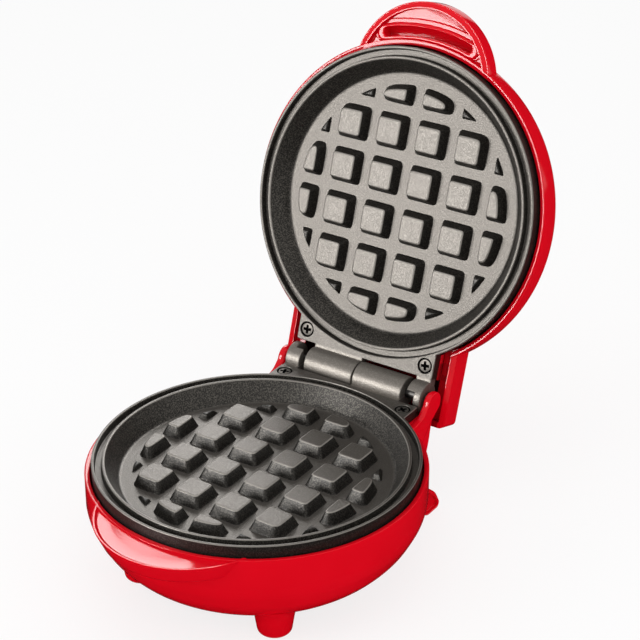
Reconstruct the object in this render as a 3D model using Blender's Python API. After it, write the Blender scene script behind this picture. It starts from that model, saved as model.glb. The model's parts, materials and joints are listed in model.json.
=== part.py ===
"""Mini waffle maker, modelled open as it stands on a table.

Lengths are in metres. Every piece is drawn in the closed machine's frame: the cooking plates
meet at z = 0, their round rims are centred on x = y = 0, +Y points back to the hinge, whose
pin lies along X. The two plates are one casting used twice, turned half round about Y.
At the end the whole machine is moved so that its feet stand on z = 0, with the middle of its
bounding box at x = y = 0.
"""

import math

import bmesh
import bpy
import numpy as np
from mathutils import Matrix, Vector

# How finely round shapes are faceted, and the angle past which an edge stays sharp
RIM_STEPS = 48
DISC_STEPS = 28
DRUM_STEPS = 20
SMALL_STEPS = 12
TUBE_SIDES_RESOLUTION = 2
SHARP_ANGLE = math.radians(32)

# Clearances, overruns of cuts, depth of joints, and the reach of a cut that takes a whole side
GAP = 0.0003
OVERRUN = 0.002
SUNK = 0.0006
FAR = 0.2
MERGE_DISTANCE = 1e-7

# Hinge and lid motion; the pin stands behind the housing's round wall
HINGE_STAND = 0.00586
OPEN_ANGLE = math.radians(107.69)
PIN_RADIUS = 0.002
PIN_BORE_RADIUS = 0.0024
PIN_STAND = 0.0003
BARREL_RADIUS = 0.0061
BARREL_SPLIT = 0.0005
BARREL_END_GAP = 0.0023
EAR_SETBACK = 0.00015
EAR_DISC_WIDTH = 0.003
EAR_BLOCK_WIDTH = 0.0034

# Cooking plate
PARTING_GAP = 0.0006
LIP_INNER_RADIUS = 0.05555
LIP_WIDTH = 0.00095
MOAT_WIDTH = 0.00287
MOAT_DEPTH = 0.0029
MOAT_SLOPE = 0.00017
RING_WIDTH = 0.00102
RING_HEIGHT = 0.0067
CAVITY_DEPTH = 0.00757
CAVITY_DRAFT = 0.00479
PLATE_THICKNESS = 0.0024
SKIRT_WIDTH = 0.0042
CORE_INSET = 0.0027

# Waffle grid
GRID_PITCH = 0.0175
GRID_ROWS = 6
GRID_FORWARD = 0.0006
BLOCK_HEIGHT = 0.0044
BLOCK_BASE_HALF = 0.00665
BLOCK_TOP_HALF = 0.00485
BLOCK_CORNER = 0.0011
GRID_EDGE_GAP = 0.00496
GRID_DRAFT = 0.0018

# Hinge flange of a plate
FLANGE_HALF_WIDTH = 0.03115
FLANGE_TO_BARREL = 0.00113
FLANGE_THICKNESS = 0.0039
PLATE_SCREW_EDGE = 0.00395
PLATE_SCREW_INSET = 0.0046
COUNTERBORE_RADIUS = 0.00315
COUNTERBORE_DEPTH = 0.0022
SCREW_HOLE_RADIUS = 0.0016

# Screws
SCREW_HEAD_RADIUS = 0.0028
SCREW_HEAD_HEIGHT = 0.0017
SCREW_SHANK_RADIUS = 0.0012
SCREW_LENGTH = 0.0085
CROSS_WIDTH = 0.0008
CROSS_LENGTH = 0.0032
CROSS_DEPTH = 0.001

# Housing shells, open at their edges; the shares follow the outer radius and the depth of the turn
HOUSING_EDGE_DROP = 0.00442
HOUSING_GAP = 0.00068
WALL = 0.0019
BASE_DEPTH = 0.0395
BASE_SIDE_DEPTH = 0.016
LID_HEIGHT = 0.024
LID_SIDE_HEIGHT = 0.0125
FOOT_HEIGHT = 0.0075
BOWL_SHARES = (
    (0.985, 0.19),
    (0.959, 0.345),
    (0.925, 0.51),
    (0.88, 0.66),
    (0.83, 0.79),
    (0.755, 0.93),
    (0.68, 1.0),
)
CROWN_SHARES = ((0.99, 0.25), (0.955, 0.5), (0.89, 0.7), (0.78, 0.86), (0.6, 0.96), (0.38, 1.0))

# Base handle: a round tongue with a scooped top, reaching past the round wall
BASE_HANDLE_RADIUS = 0.0342
BASE_HANDLE_REACH = 0.01223
BASE_HANDLE_THICKNESS = 0.0079
BASE_HANDLE_TAPER = 0.0035
SCOOP_DEPTH = 0.0026
SCOOP_FLOOR_RADIUS = 0.02
LIP_EDGE = 0.0003

# Lid handle: a round hollow tongue with a slot for the fingertips
LID_HANDLE_RADIUS = 0.0296
LID_HANDLE_REACH = 0.01503
LID_HANDLE_THICKNESS = 0.0076
LID_HANDLE_WALL = 0.0026
LID_HANDLE_RECESS = 0.0024
SLOT_STAND = 0.00143
SLOT_WIDTH = 0.0035
SLOT_DEPTH = 0.0055
SLOT_HALF_ANGLE = math.radians(15.5)
SLOT_STEPS = 8

# Feet: two round ones in front, two legs behind; the shares follow a leg's reach and rise
FRONT_FOOT_INSET = 0.01874
FRONT_FOOT_ANGLE = math.radians(42.71)
FOOT_ROOT_RADIUS = 0.0075
FOOT_END_RADIUS = 0.006
FOOT_TIP_RADIUS = 0.0047
FOOT_TIP_ROUND = 0.0015
FOOT_ROOT_HEIGHT = 0.0105
REAR_FOOT_WIDTH = 0.009
REAR_FOOT_STAND = 0.0025
REAR_FOOT_PAST_PIN = 0.00107
REAR_FOOT_REACH = 0.0299
REAR_FOOT_RISE = 0.019
REAR_FOOT_SHARES = (
    (0.0, 1.0),
    (0.69, 0.684),
    (0.89, 0.42),
    (1.0, 0.11),
    (0.953, 0.0),
    (0.7, 0.0),
    (0.535, 0.16),
    (0.0, 0.6),
)

# Rear of the base: hinge block, trough and cheeks; each reach or setback is forward of the pin
CHEEK_GAP = 0.00065
CHEEK_THICKNESS = 0.0032
CHEEK_RADIUS = 0.0062
CHEEK_REACH = 0.01533
CHEEK_SHOULDER_REACH = 0.01033
CHEEK_SHOULDER_DROP = 0.0034
CHEEK_ARC_STEPS = 8
CHEEK_ARC_START = math.radians(165.6)
CHEEK_ARC_SWEEP = math.radians(210.6)
TROUGH_DEPTH = 0.0067
TROUGH_SETBACK = 0.0006
BLOCK_TOP_SETBACK = 0.00263
BLOCK_LOW_SETBACK = 0.00423
BLOCK_LOW_DROP = 0.0155
BLOCK_FOOT_SETBACK = 0.00733
BLOCK_FOOT_DROP = 0.024
BLOCK_REACH = 0.02383
BLOCK_UNDER_DROP = 0.033
STOP_HALF_WIDTH = 0.006
STOP_HEIGHT = 0.004
LEDGE_THICKNESS = 0.0022
BOSS_RADIUS = 0.0034
BOSS_DEPTH = 0.012
BOSS_HOLE_RADIUS = 0.0015

# Hinge guard of the lid: an open channel round the base's cheeks
GUARD_CLEARANCE = 0.0003
GUARD_WALL = 0.00235
GUARD_REACH = 0.01147
GUARD_HEIGHT = 0.0106
GUARD_ROOF_RISE = 0.0035
GUARD_ROOF_SHARE = 0.6
GUARD_EDGE_RISE = 0.0003
GUARD_OVERLAP = 0.02083

# Ribs that carry a plate's skirt
RIB_WIDTH = 0.0024
RIB_DROP = 0.008
RIB_ANGLES = tuple(math.radians(degrees) for degrees in (205, 245, 295, 335))

# Heating element and heat reflector
ELEMENT_RADIUS = 0.0032
ELEMENT_RING_RADIUS = 0.03
ELEMENT_GAP_ANGLE = math.radians(24)
ELEMENT_ARC_STEPS = 16
ELEMENT_BEND_RADIUS = 0.006
ELEMENT_TAIL = 0.008
ELEMENT_PIN_RADIUS = 0.0011
ELEMENT_PIN_LENGTH = 0.0062
INSULATOR_RADIUS = 0.003
INSULATOR_LENGTH = 0.004
REFLECTOR_RADIUS = 0.0375
REFLECTOR_THICKNESS = 0.0008
REFLECTOR_RIM = 0.002
CENTRE_BOSS_RADIUS = 0.004

# Thermostat and thermal fuse under the lower plate
THERMOSTAT_RADIUS = 0.0066
THERMOSTAT_HEIGHT = 0.0105
THERMOSTAT_FORWARD = 0.0155
THERMOSTAT_COLLAR = 0.0016
THERMOSTAT_COLLAR_HEIGHT = 0.0012
BLADE_WIDTH = 0.0032
BLADE_THICKNESS = 0.0008
BLADE_LENGTH = 0.006
BLADE_SIDE = 0.0036
FUSE_RADIUS = 0.0019
FUSE_LENGTH = 0.012
FUSE_SIDE = 0.02
FUSE_CLIP_WALL = 0.001
FUSE_CLIP_LENGTH = 0.006
FUSE_CLIP_FOOT = 0.004

# Screw that holds the front of the lower plate from beneath, in a post clear of the reflector
FRONT_BOSS_RADIUS = 0.0034
FRONT_BOSS_LENGTH = 0.005
FRONT_POST_CLEARANCE = 0.0008
FRONT_POST_RADIUS = 0.0052
FRONT_POST_BORE = 0.0034
FRONT_POST_CAP = 0.003
FRONT_SCREW_LENGTH = 0.0075

# Inlet bushing, terminal block and leads
BUSHING_DROP = 0.026
BUSHING_BORE_RADIUS = 0.0034
BUSHING_RADIUS = 0.0049
BUSHING_LENGTH = 0.0095
COLLAR_RADIUS = 0.0065
COLLAR_LENGTH = 0.0022
BUSHING_SEAT_RADIUS = 0.0075
BUSHING_SEAT_STAND = 0.00103
BUSHING_SEAT_INSIDE = 0.0076
TERMINAL_BLOCK_SIZE = (0.024, 0.011, 0.009)
TERMINAL_BLOCK_BACK = 0.022
TERMINAL_GROOVE = 0.0019
LEAD_RADIUS = 0.001
INLET_LEAD_SIDE = 0.004
ELEMENT_LEAD_SIDE = 0.009
LEAD_LOOP_REACH = 0.004
LEAD_LOOP_DROP = 0.0112
LEAD_STEPS = 10
LOOP_STEPS = 6

# Indicator in the lid, inside the round wall
INDICATOR_INSET = 0.01247
LENS_RADIUS = 0.0026
LENS_FLANGE_RADIUS = 0.0036
LENS_FLANGE_HEIGHT = 0.001
LENS_STAND = 0.001
LENS_TIP_SHARE = 0.7
LENS_SEAT_RADIUS = 0.0042
LENS_SEAT_CLEARANCE = 0.0004
LENS_SEAT_HEIGHT = 0.0022
HOLDER_WALL = 0.0008
HOLDER_HEIGHT = 0.0038
LAMP_RADIUS = 0.0018
LAMP_LENGTH = 0.0052

# Heights that follow from the sizes above, those of the lower half
LIP_TOP = -PARTING_GAP / 2
FLOOR_TOP = LIP_TOP - CAVITY_DEPTH
PLATE_UNDER = FLOOR_TOP - PLATE_THICKNESS
SKIRT_BOTTOM = LIP_TOP - RING_HEIGHT
FLANGE_UNDER = LIP_TOP - FLANGE_THICKNESS
EDGE = -HOUSING_EDGE_DROP
LEDGE_TOP = FLANGE_UNDER - GAP
ELEMENT_LEVEL = PLATE_UNDER - GAP - ELEMENT_RADIUS
REFLECTOR_TOP = ELEMENT_LEVEL - ELEMENT_RADIUS - GAP
REFLECTOR_UNDER = REFLECTOR_TOP - REFLECTOR_THICKNESS
FLOOR_LEVEL = -BASE_DEPTH - FOOT_HEIGHT

# Radii about the rim's centre
FLOOR_RADIUS = LIP_INNER_RADIUS - CAVITY_DRAFT
GRID_RADIUS = FLOOR_RADIUS - GRID_EDGE_GAP
LIP_OUTER_RADIUS = LIP_INNER_RADIUS + LIP_WIDTH
RING_INNER_RADIUS = LIP_OUTER_RADIUS + MOAT_WIDTH
RING_OUTER_RADIUS = RING_INNER_RADIUS + RING_WIDTH
SKIRT_INNER_RADIUS = RING_OUTER_RADIUS - SKIRT_WIDTH
PLATE_CLEAR_RADIUS = RING_OUTER_RADIUS + GAP
INNER_RADIUS = RING_OUTER_RADIUS + HOUSING_GAP
HOUSING_RADIUS = INNER_RADIUS + WALL
SLOT_INNER_RADIUS = HOUSING_RADIUS + SLOT_STAND

# Places along Y, behind the rim's centre or forward of it
HINGE_BACK = HOUSING_RADIUS + HINGE_STAND
FLANGE_BACK = HINGE_BACK - BARREL_RADIUS - FLANGE_TO_BARREL
PLATE_SCREW_BACK = FLANGE_BACK - PLATE_SCREW_INSET
TROUGH_FRONT = FLANGE_BACK + TROUGH_SETBACK
CHEEK_FRONT = HINGE_BACK - CHEEK_REACH
CHEEK_SHOULDER_BACK = HINGE_BACK - CHEEK_SHOULDER_REACH
BLOCK_BACK = HINGE_BACK - BLOCK_TOP_SETBACK
BLOCK_LOW_BACK = HINGE_BACK - BLOCK_LOW_SETBACK
BLOCK_FOOT_BACK = HINGE_BACK - BLOCK_FOOT_SETBACK
BLOCK_FRONT = HINGE_BACK - BLOCK_REACH
GUARD_BACK = HINGE_BACK + GUARD_REACH
GUARD_FRONT = HINGE_BACK - GUARD_OVERLAP
REAR_FOOT_BACK = HINGE_BACK + REAR_FOOT_PAST_PIN
BUSHING_SEAT_BACK = HOUSING_RADIUS + BUSHING_SEAT_STAND
BASE_HANDLE_FORWARD = HOUSING_RADIUS + BASE_HANDLE_REACH - BASE_HANDLE_RADIUS
LID_HANDLE_FORWARD = HOUSING_RADIUS + LID_HANDLE_REACH - LID_HANDLE_RADIUS
FRONT_FOOT_FORWARD = (HOUSING_RADIUS - FRONT_FOOT_INSET) * math.cos(FRONT_FOOT_ANGLE)
FRONT_SCREW_FORWARD = REFLECTOR_RADIUS + FRONT_POST_CLEARANCE + FRONT_POST_RADIUS
INDICATOR_FORWARD = HOUSING_RADIUS - INDICATOR_INSET

# Places along X, to one side of the middle
EAR_OUTER = FLANGE_HALF_WIDTH - EAR_SETBACK
EAR_DISC_INNER = EAR_OUTER - EAR_DISC_WIDTH
EAR_BLOCK_INNER = EAR_DISC_INNER - EAR_BLOCK_WIDTH
BARREL_END = EAR_BLOCK_INNER - BARREL_END_GAP
PIN_HALF_LENGTH = EAR_OUTER + PIN_STAND
PLATE_SCREW_SIDE = FLANGE_HALF_WIDTH - PLATE_SCREW_EDGE
CHEEK_INNER = FLANGE_HALF_WIDTH + CHEEK_GAP
BLOCK_HALF_WIDTH = CHEEK_INNER + CHEEK_THICKNESS
GUARD_INNER = BLOCK_HALF_WIDTH + GUARD_CLEARANCE
GUARD_OUTER = GUARD_INNER + GUARD_WALL
FRONT_FOOT_SIDE = (HOUSING_RADIUS - FRONT_FOOT_INSET) * math.sin(FRONT_FOOT_ANGLE)
REAR_FOOT_OUTER = BLOCK_HALF_WIDTH + REAR_FOOT_STAND
REAR_FOOT_INNER = REAR_FOOT_OUTER - REAR_FOOT_WIDTH


# Shapes


def mesh_from(shape):
    """A mesh with its faces turned outwards, from a bmesh that is then freed."""
    bmesh.ops.recalc_face_normals(shape, faces=shape.faces)
    mesh = bpy.data.meshes.new("shape")
    shape.to_mesh(mesh)
    shape.free()
    return mesh


def turned(profile, steps=SMALL_STEPS):
    """A solid turned about Z from (radius, height) points; an end off the axis is closed to it."""
    points = list(profile)
    if points[0][0] > 0:
        points.insert(0, (0, points[0][1]))
    if points[-1][0] > 0:
        points.append((0, points[-1][1]))
    return turned_ring(points, steps, closed=False)


def turned_ring(profile, steps=SMALL_STEPS, closed=True):
    """A solid turned about Z from a closed loop of (radius, height) points."""
    shape = bmesh.new()
    corners = [shape.verts.new((radius, 0, height)) for radius, height in profile]
    pairs = list(zip(corners, corners[1:]))
    if closed:
        pairs.append((corners[-1], corners[0]))
    edges = [shape.edges.new(pair) for pair in pairs]
    bmesh.ops.spin(
        shape,
        geom=corners + edges,
        cent=(0, 0, 0),
        axis=(0, 0, 1),
        angle=math.tau,
        steps=steps,
        use_merge=True,
    )
    bmesh.ops.remove_doubles(shape, verts=shape.verts, dist=MERGE_DISTANCE)
    return mesh_from(shape)


def prism(outline, low, high, along="Z"):
    """An outline pushed from low to high: (x, y) points along Z, or (y, z) points along X."""
    shape = bmesh.new()
    if along == "X":
        corners = [shape.verts.new((low, a, b)) for a, b in outline]
        push = Vector((high - low, 0, 0))
    else:
        corners = [shape.verts.new((a, b, low)) for a, b in outline]
        push = Vector((0, 0, high - low))
    face = shape.faces.new(corners)
    pushed = bmesh.ops.extrude_face_region(shape, geom=[face])["geom"]
    ends = [item for item in pushed if isinstance(item, bmesh.types.BMVert)]
    bmesh.ops.translate(shape, vec=push, verts=ends)
    return mesh_from(shape)


def box(low, high):
    """A box between two corners."""
    outline = ((low[0], low[1]), (high[0], low[1]), (high[0], high[1]), (low[0], high[1]))
    return prism(outline, low[2], high[2])


def in_front_of(back):
    """All the space in front of a place along Y."""
    return box((-FAR, -FAR, -FAR), (FAR, back, FAR))


def drum(radius, low, high, steps=SMALL_STEPS, end_radius=None):
    """A cylinder or a cone about Z."""
    end = radius if end_radius is None else end_radius
    return turned(((radius, low), (end, high)), steps)


def moved(mesh, x=0, y=0, z=0, turn=None):
    """The mesh turned by a matrix, then moved."""
    matrix = Matrix.Translation((x, y, z))
    mesh.transform(matrix @ turn if turn else matrix)
    return mesh


def along_x(mesh):
    """A shape drawn about Z, laid along X, its +Z end at +X."""
    return moved(mesh, turn=Matrix.Rotation(math.pi / 2, 4, "Y"))


def along_y(mesh):
    """A shape drawn about Z, laid along Y, its +Z end at +Y."""
    return moved(mesh, turn=Matrix.Rotation(-math.pi / 2, 4, "X"))


def at_hinge(mesh):
    return moved(mesh, y=HINGE_BACK)


def mirrored(mesh):
    """A copy on the other side of the machine."""
    other = mesh.copy()
    other.transform(Matrix.Scale(-1, 4, (1, 0, 0)))
    other.flip_normals()
    return other


def tube(points, radius):
    """A round tube with filled ends along a list of points."""
    curve = bpy.data.curves.new("route", "CURVE")
    curve.dimensions = "3D"
    curve.bevel_depth = radius
    curve.bevel_resolution = TUBE_SIDES_RESOLUTION
    curve.use_fill_caps = True
    spline = curve.splines.new("POLY")
    spline.points.add(len(points) - 1)
    for place, point in zip(spline.points, points):
        place.co = (*point, 1)
    helper = bpy.data.objects.new("route", curve)
    bpy.context.scene.collection.objects.link(helper)
    bpy.context.view_layer.update()
    mesh = bpy.data.meshes.new_from_object(helper.evaluated_get(bpy.context.evaluated_depsgraph_get()))
    bpy.data.objects.remove(helper)
    shape = bmesh.new()
    shape.from_mesh(mesh)
    bmesh.ops.remove_doubles(shape, verts=shape.verts, dist=MERGE_DISTANCE)
    return mesh_from(shape)


def combined(mesh, *steps, solver="EXACT"):
    """The mesh after a row of (operation, other mesh) Booleans."""
    scene = bpy.context.scene.collection.objects
    target = bpy.data.objects.new("target", mesh)
    scene.link(target)
    helpers = []
    for operation, other in steps:
        helper = bpy.data.objects.new("helper", other)
        scene.link(helper)
        helpers.append(helper)
        change = target.modifiers.new(operation, "BOOLEAN")
        change.operation = operation
        change.solver = solver
        change.object = helper
    bpy.context.view_layer.update()
    result = bpy.data.meshes.new_from_object(target.evaluated_get(bpy.context.evaluated_depsgraph_get()))
    for helper in (target, *helpers):
        bpy.data.objects.remove(helper)
    return result


def joined(*meshes):
    """Meshes that don't touch, as one mesh."""
    shape = bmesh.new()
    for mesh in meshes:
        shape.from_mesh(mesh)
    return mesh_from(shape)


def add(mesh):
    return ("UNION", mesh)


def cut(mesh):
    return ("DIFFERENCE", mesh)


def keep(mesh):
    return ("INTERSECT", mesh)


# Materials and placing


def material(name, colour, roughness, metallic=0.0, coat=0.0):
    made = bpy.data.materials.new(name)
    made.use_nodes = True
    surface = made.node_tree.nodes["Principled BSDF"]
    surface.inputs["Base Color"].default_value = (*colour, 1)
    surface.inputs["Roughness"].default_value = roughness
    surface.inputs["Metallic"].default_value = metallic
    surface.inputs["Coat Weight"].default_value = coat
    return made


def frame(name, parent=None, place=(0, 0, 0), turn=0.0):
    """An empty that carries pieces; turn is about X."""
    holder = bpy.data.objects.new(name, None)
    holder.parent = parent
    holder.location = place
    holder.rotation_euler.x = turn
    bpy.context.scene.collection.objects.link(holder)
    return holder


def piece(name, mesh, look, parent, place=(0, 0, 0), flipped=False):
    """A named piece in its carrier's frame; a flipped one is turned half round about Y first."""
    mesh.name = name
    mesh.shade_smooth()
    mesh.set_sharp_from_angle(angle=SHARP_ANGLE)
    if not mesh.materials:
        mesh.materials.append(look)
    made = bpy.data.objects.new(name, mesh)
    made.parent = parent
    made.location = place
    if flipped:
        made.rotation_euler.y = math.pi
    bpy.context.scene.collection.objects.link(made)
    return made


# Cooking plate


def block_mesh(x, y):
    """One waffle block: a square frustum with cut corners, rooted in the floor."""
    shape = bmesh.new()
    rings = []
    for height, half in ((FLOOR_TOP - SUNK, BLOCK_BASE_HALF), (FLOOR_TOP + BLOCK_HEIGHT, BLOCK_TOP_HALF)):
        inner = half - BLOCK_CORNER
        ring = ((half, inner), (inner, half), (-inner, half), (-half, inner))
        ring += tuple((-a, -b) for a, b in ring)
        rings.append([shape.verts.new((x + a, y + b, height)) for a, b in ring])
    lower, upper = rings
    for i in range(len(lower)):
        j = (i + 1) % len(lower)
        shape.faces.new((lower[i], lower[j], upper[j], upper[i]))
    shape.faces.new(lower)
    shape.faces.new(upper)
    return mesh_from(shape)


def grid_mesh():
    """All blocks of the grid, cut by the round edge of the pattern."""
    reach = (GRID_ROWS - 1) / 2
    blocks = []
    for row in range(GRID_ROWS):
        for column in range(GRID_ROWS):
            across, back = column - reach, row - reach
            if abs(across) < reach or abs(back) < reach:
                blocks.append(block_mesh(across * GRID_PITCH, back * GRID_PITCH - GRID_FORWARD))
    top = FLOOR_TOP + BLOCK_HEIGHT
    slope = GRID_DRAFT / BLOCK_HEIGHT
    edge = turned(
        (
            (GRID_RADIUS + slope * OVERRUN, FLOOR_TOP - OVERRUN),
            (GRID_RADIUS - GRID_DRAFT - slope * OVERRUN, top + OVERRUN),
        ),
        RIM_STEPS,
    )
    return combined(joined(*blocks), keep(edge))


def plate_body():
    """The turned body of the casting: cavity, lip, moat, ring, skirt and flat underside."""
    return turned(
        (
            (FLOOR_RADIUS, FLOOR_TOP),
            (LIP_INNER_RADIUS, LIP_TOP),
            (LIP_OUTER_RADIUS, LIP_TOP),
            (LIP_OUTER_RADIUS + MOAT_SLOPE, LIP_TOP - MOAT_DEPTH),
            (RING_INNER_RADIUS - MOAT_SLOPE, LIP_TOP - MOAT_DEPTH),
            (RING_INNER_RADIUS, LIP_TOP),
            (RING_OUTER_RADIUS, LIP_TOP),
            (RING_OUTER_RADIUS, SKIRT_BOTTOM),
            (SKIRT_INNER_RADIUS, SKIRT_BOTTOM),
            (SKIRT_INNER_RADIUS - CORE_INSET, PLATE_UNDER),
        ),
        RIM_STEPS,
    )


def hinge_drum(low, high):
    """A round length of the hinge, along X."""
    return at_hinge(along_x(drum(BARREL_RADIUS, low, high, DRUM_STEPS)))


def plate_mesh():
    """One cooking plate in the lower place: barrel on the right, ear on the left."""
    web_front = FLANGE_BACK - OVERRUN
    web_back = HINGE_BACK - BARREL_RADIUS + OVERRUN
    ring_middle = (RING_INNER_RADIUS + RING_OUTER_RADIUS) / 2
    flange = combined(
        box((-FLANGE_HALF_WIDTH, 0, FLANGE_UNDER), (FLANGE_HALF_WIDTH, FLANGE_BACK, LIP_TOP)),
        cut(drum(ring_middle, FLANGE_UNDER - OVERRUN, OVERRUN, RIM_STEPS)),
    )
    ear_block = combined(
        hinge_drum(-EAR_DISC_INNER - SUNK, -EAR_BLOCK_INNER),
        keep(in_front_of(HINGE_BACK - PIN_BORE_RADIUS)),
    )
    front_boss = drum(FRONT_BOSS_RADIUS, PLATE_UNDER - FRONT_BOSS_LENGTH, PLATE_UNDER + SUNK)
    front_hole = drum(
        BOSS_HOLE_RADIUS,
        PLATE_UNDER - FRONT_BOSS_LENGTH - OVERRUN,
        PLATE_UNDER + PLATE_THICKNESS / 2,
    )
    steps = [
        add(flange),
        add(box((BARREL_SPLIT / 2, web_front, FLANGE_UNDER), (BARREL_END, web_back, LIP_TOP))),
        add(hinge_drum(BARREL_SPLIT / 2, BARREL_END)),
        add(box((-EAR_OUTER, web_front, FLANGE_UNDER), (-EAR_BLOCK_INNER, web_back, LIP_TOP))),
        add(hinge_drum(-EAR_OUTER, -EAR_DISC_INNER)),
        add(ear_block),
        add(grid_mesh()),
        add(drum(CENTRE_BOSS_RADIUS, REFLECTOR_TOP + GAP, PLATE_UNDER + SUNK)),
        add(moved(front_boss, y=-FRONT_SCREW_FORWARD)),
        cut(at_hinge(along_x(drum(PIN_BORE_RADIUS, -EAR_OUTER - OVERRUN, EAR_OUTER + OVERRUN)))),
        cut(drum(BOSS_HOLE_RADIUS, REFLECTOR_TOP, PLATE_UNDER + PLATE_THICKNESS / 2)),
        cut(moved(front_hole, y=-FRONT_SCREW_FORWARD)),
    ]
    for side in (-PLATE_SCREW_SIDE, PLATE_SCREW_SIDE):
        head = drum(COUNTERBORE_RADIUS, LIP_TOP - COUNTERBORE_DEPTH, OVERRUN)
        shank = drum(SCREW_HOLE_RADIUS, FLANGE_UNDER - OVERRUN, OVERRUN)
        steps.append(cut(moved(head, side, PLATE_SCREW_BACK)))
        steps.append(cut(moved(shank, side, PLATE_SCREW_BACK)))
    # The flange, webs and ring share their top plane, where EXACT leaves open edges
    return combined(plate_body(), *steps, solver="MANIFOLD")


# Screws and pin


def screw_mesh(length=SCREW_LENGTH):
    """A cross-recessed screw, the top of its head at z = 0."""
    shaft = turned(
        (
            (SCREW_HEAD_RADIUS, 0),
            (SCREW_HEAD_RADIUS, -SCREW_HEAD_HEIGHT),
            (SCREW_SHANK_RADIUS, -SCREW_HEAD_HEIGHT),
            (SCREW_SHANK_RADIUS, -length + SCREW_SHANK_RADIUS),
            (SCREW_SHANK_RADIUS / 2, -length),
        )
    )
    half = CROSS_LENGTH / 2
    arm = CROSS_WIDTH / 2
    return combined(
        shaft,
        cut(box((-half, -arm, -CROSS_DEPTH), (half, arm, OVERRUN))),
        cut(box((-arm, -half, -CROSS_DEPTH), (arm, half, OVERRUN))),
    )


def pin_mesh():
    bevel = PIN_RADIUS / 4
    return along_x(
        turned(
            (
                (PIN_RADIUS - bevel, -PIN_HALF_LENGTH),
                (PIN_RADIUS, -PIN_HALF_LENGTH + bevel),
                (PIN_RADIUS, PIN_HALF_LENGTH - bevel),
                (PIN_RADIUS - bevel, PIN_HALF_LENGTH),
            )
        )
    )


# Housing shells, both drawn in the lower place or in the closed lid's own place


def shell_profile(depth, side, shares, inset=0.0):
    """Points down the outside of a shell from its edge; shares are of the radius and of the turn's depth."""
    turn = depth - side
    points = [(HOUSING_RADIUS - inset, -side)]
    points += [(HOUSING_RADIUS * radius - inset, -side - turn * fall + inset) for radius, fall in shares]
    return points


def shell_mesh(depth, side, shares):
    """The outside of a turned shell and the hollow to cut from it, which follows every second point."""
    outside = [(HOUSING_RADIUS, EDGE)] + shell_profile(depth, side, shares)
    inside = [(INNER_RADIUS, EDGE + OVERRUN)] + shell_profile(depth, side, shares[::2], WALL)
    return turned(outside, RIM_STEPS), turned(inside, RIM_STEPS)


def support_ribs():
    """Short upright ribs inside the wall, just under a plate's skirt."""
    top = SKIRT_BOTTOM - GAP
    low_corner = (SKIRT_INNER_RADIUS + GAP, -RIB_WIDTH / 2, top - RIB_DROP)
    high_corner = (INNER_RADIUS + SUNK, RIB_WIDTH / 2, top)
    ribs = []
    for angle in RIB_ANGLES:
        ribs.append(moved(box(low_corner, high_corner), turn=Matrix.Rotation(angle, 4, "Z")))
    return ribs


def screw_bosses():
    """Bosses under the plate's flange, cleared for the plate's skirt, with blind holes."""
    steps = []
    for side in (-PLATE_SCREW_SIDE, PLATE_SCREW_SIDE):
        boss = moved(drum(BOSS_RADIUS, LEDGE_TOP - BOSS_DEPTH, LEDGE_TOP), side, PLATE_SCREW_BACK)
        skirt = drum(PLATE_CLEAR_RADIUS, SKIRT_BOTTOM - GAP, OVERRUN, RIM_STEPS)
        steps.append(add(combined(boss, cut(skirt))))
    for side in (-PLATE_SCREW_SIDE, PLATE_SCREW_SIDE):
        hole = drum(BOSS_HOLE_RADIUS, LEDGE_TOP - BOSS_DEPTH + WALL, LEDGE_TOP + OVERRUN)
        steps.append(cut(moved(hole, side, PLATE_SCREW_BACK)))
    return steps


def ledge_mesh(half_width):
    """The flat shelf under a plate's flange, outside the plate's round skirt."""
    return combined(
        box((-half_width, BLOCK_FRONT, LEDGE_TOP - LEDGE_THICKNESS), (half_width, TROUGH_FRONT, LEDGE_TOP)),
        cut(drum(PLATE_CLEAR_RADIUS, LEDGE_TOP - LEDGE_THICKNESS - OVERRUN, OVERRUN, RIM_STEPS)),
    )


# Base housing


def block_outline(inset=0.0):
    """The hinge block seen from the side, as (y, z) points; inset draws its inner face."""
    top = -TROUGH_DEPTH - inset
    return (
        (BLOCK_FRONT, top),
        (BLOCK_BACK - inset, top),
        (BLOCK_LOW_BACK - inset, -BLOCK_LOW_DROP),
        (BLOCK_FOOT_BACK - inset, -BLOCK_FOOT_DROP),
        (BLOCK_FRONT, -BLOCK_UNDER_DROP + inset),
    )


def cheek_outline():
    """A cheek seen from the side: a round ear about the pin, a slope in front, the block below."""
    points = [(BLOCK_FRONT, -TROUGH_DEPTH - SUNK), (BLOCK_FRONT, EDGE), (CHEEK_FRONT, EDGE)]
    points.append((CHEEK_SHOULDER_BACK, -CHEEK_SHOULDER_DROP))
    for step in range(CHEEK_ARC_STEPS + 1):
        angle = CHEEK_ARC_START - CHEEK_ARC_SWEEP * step / CHEEK_ARC_STEPS
        points.append((HINGE_BACK + CHEEK_RADIUS * math.cos(angle), CHEEK_RADIUS * math.sin(angle)))
    points.append((BLOCK_BACK, -TROUGH_DEPTH - SUNK))
    return points


def base_handle():
    """The tongue at the front, tapered beneath."""
    tongue = drum(
        BASE_HANDLE_RADIUS - BASE_HANDLE_TAPER,
        EDGE - BASE_HANDLE_THICKNESS,
        EDGE,
        RIM_STEPS,
        BASE_HANDLE_RADIUS,
    )
    return combined(moved(tongue, y=-BASE_HANDLE_FORWARD), keep(in_front_of(-BASE_HANDLE_FORWARD)))


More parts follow.
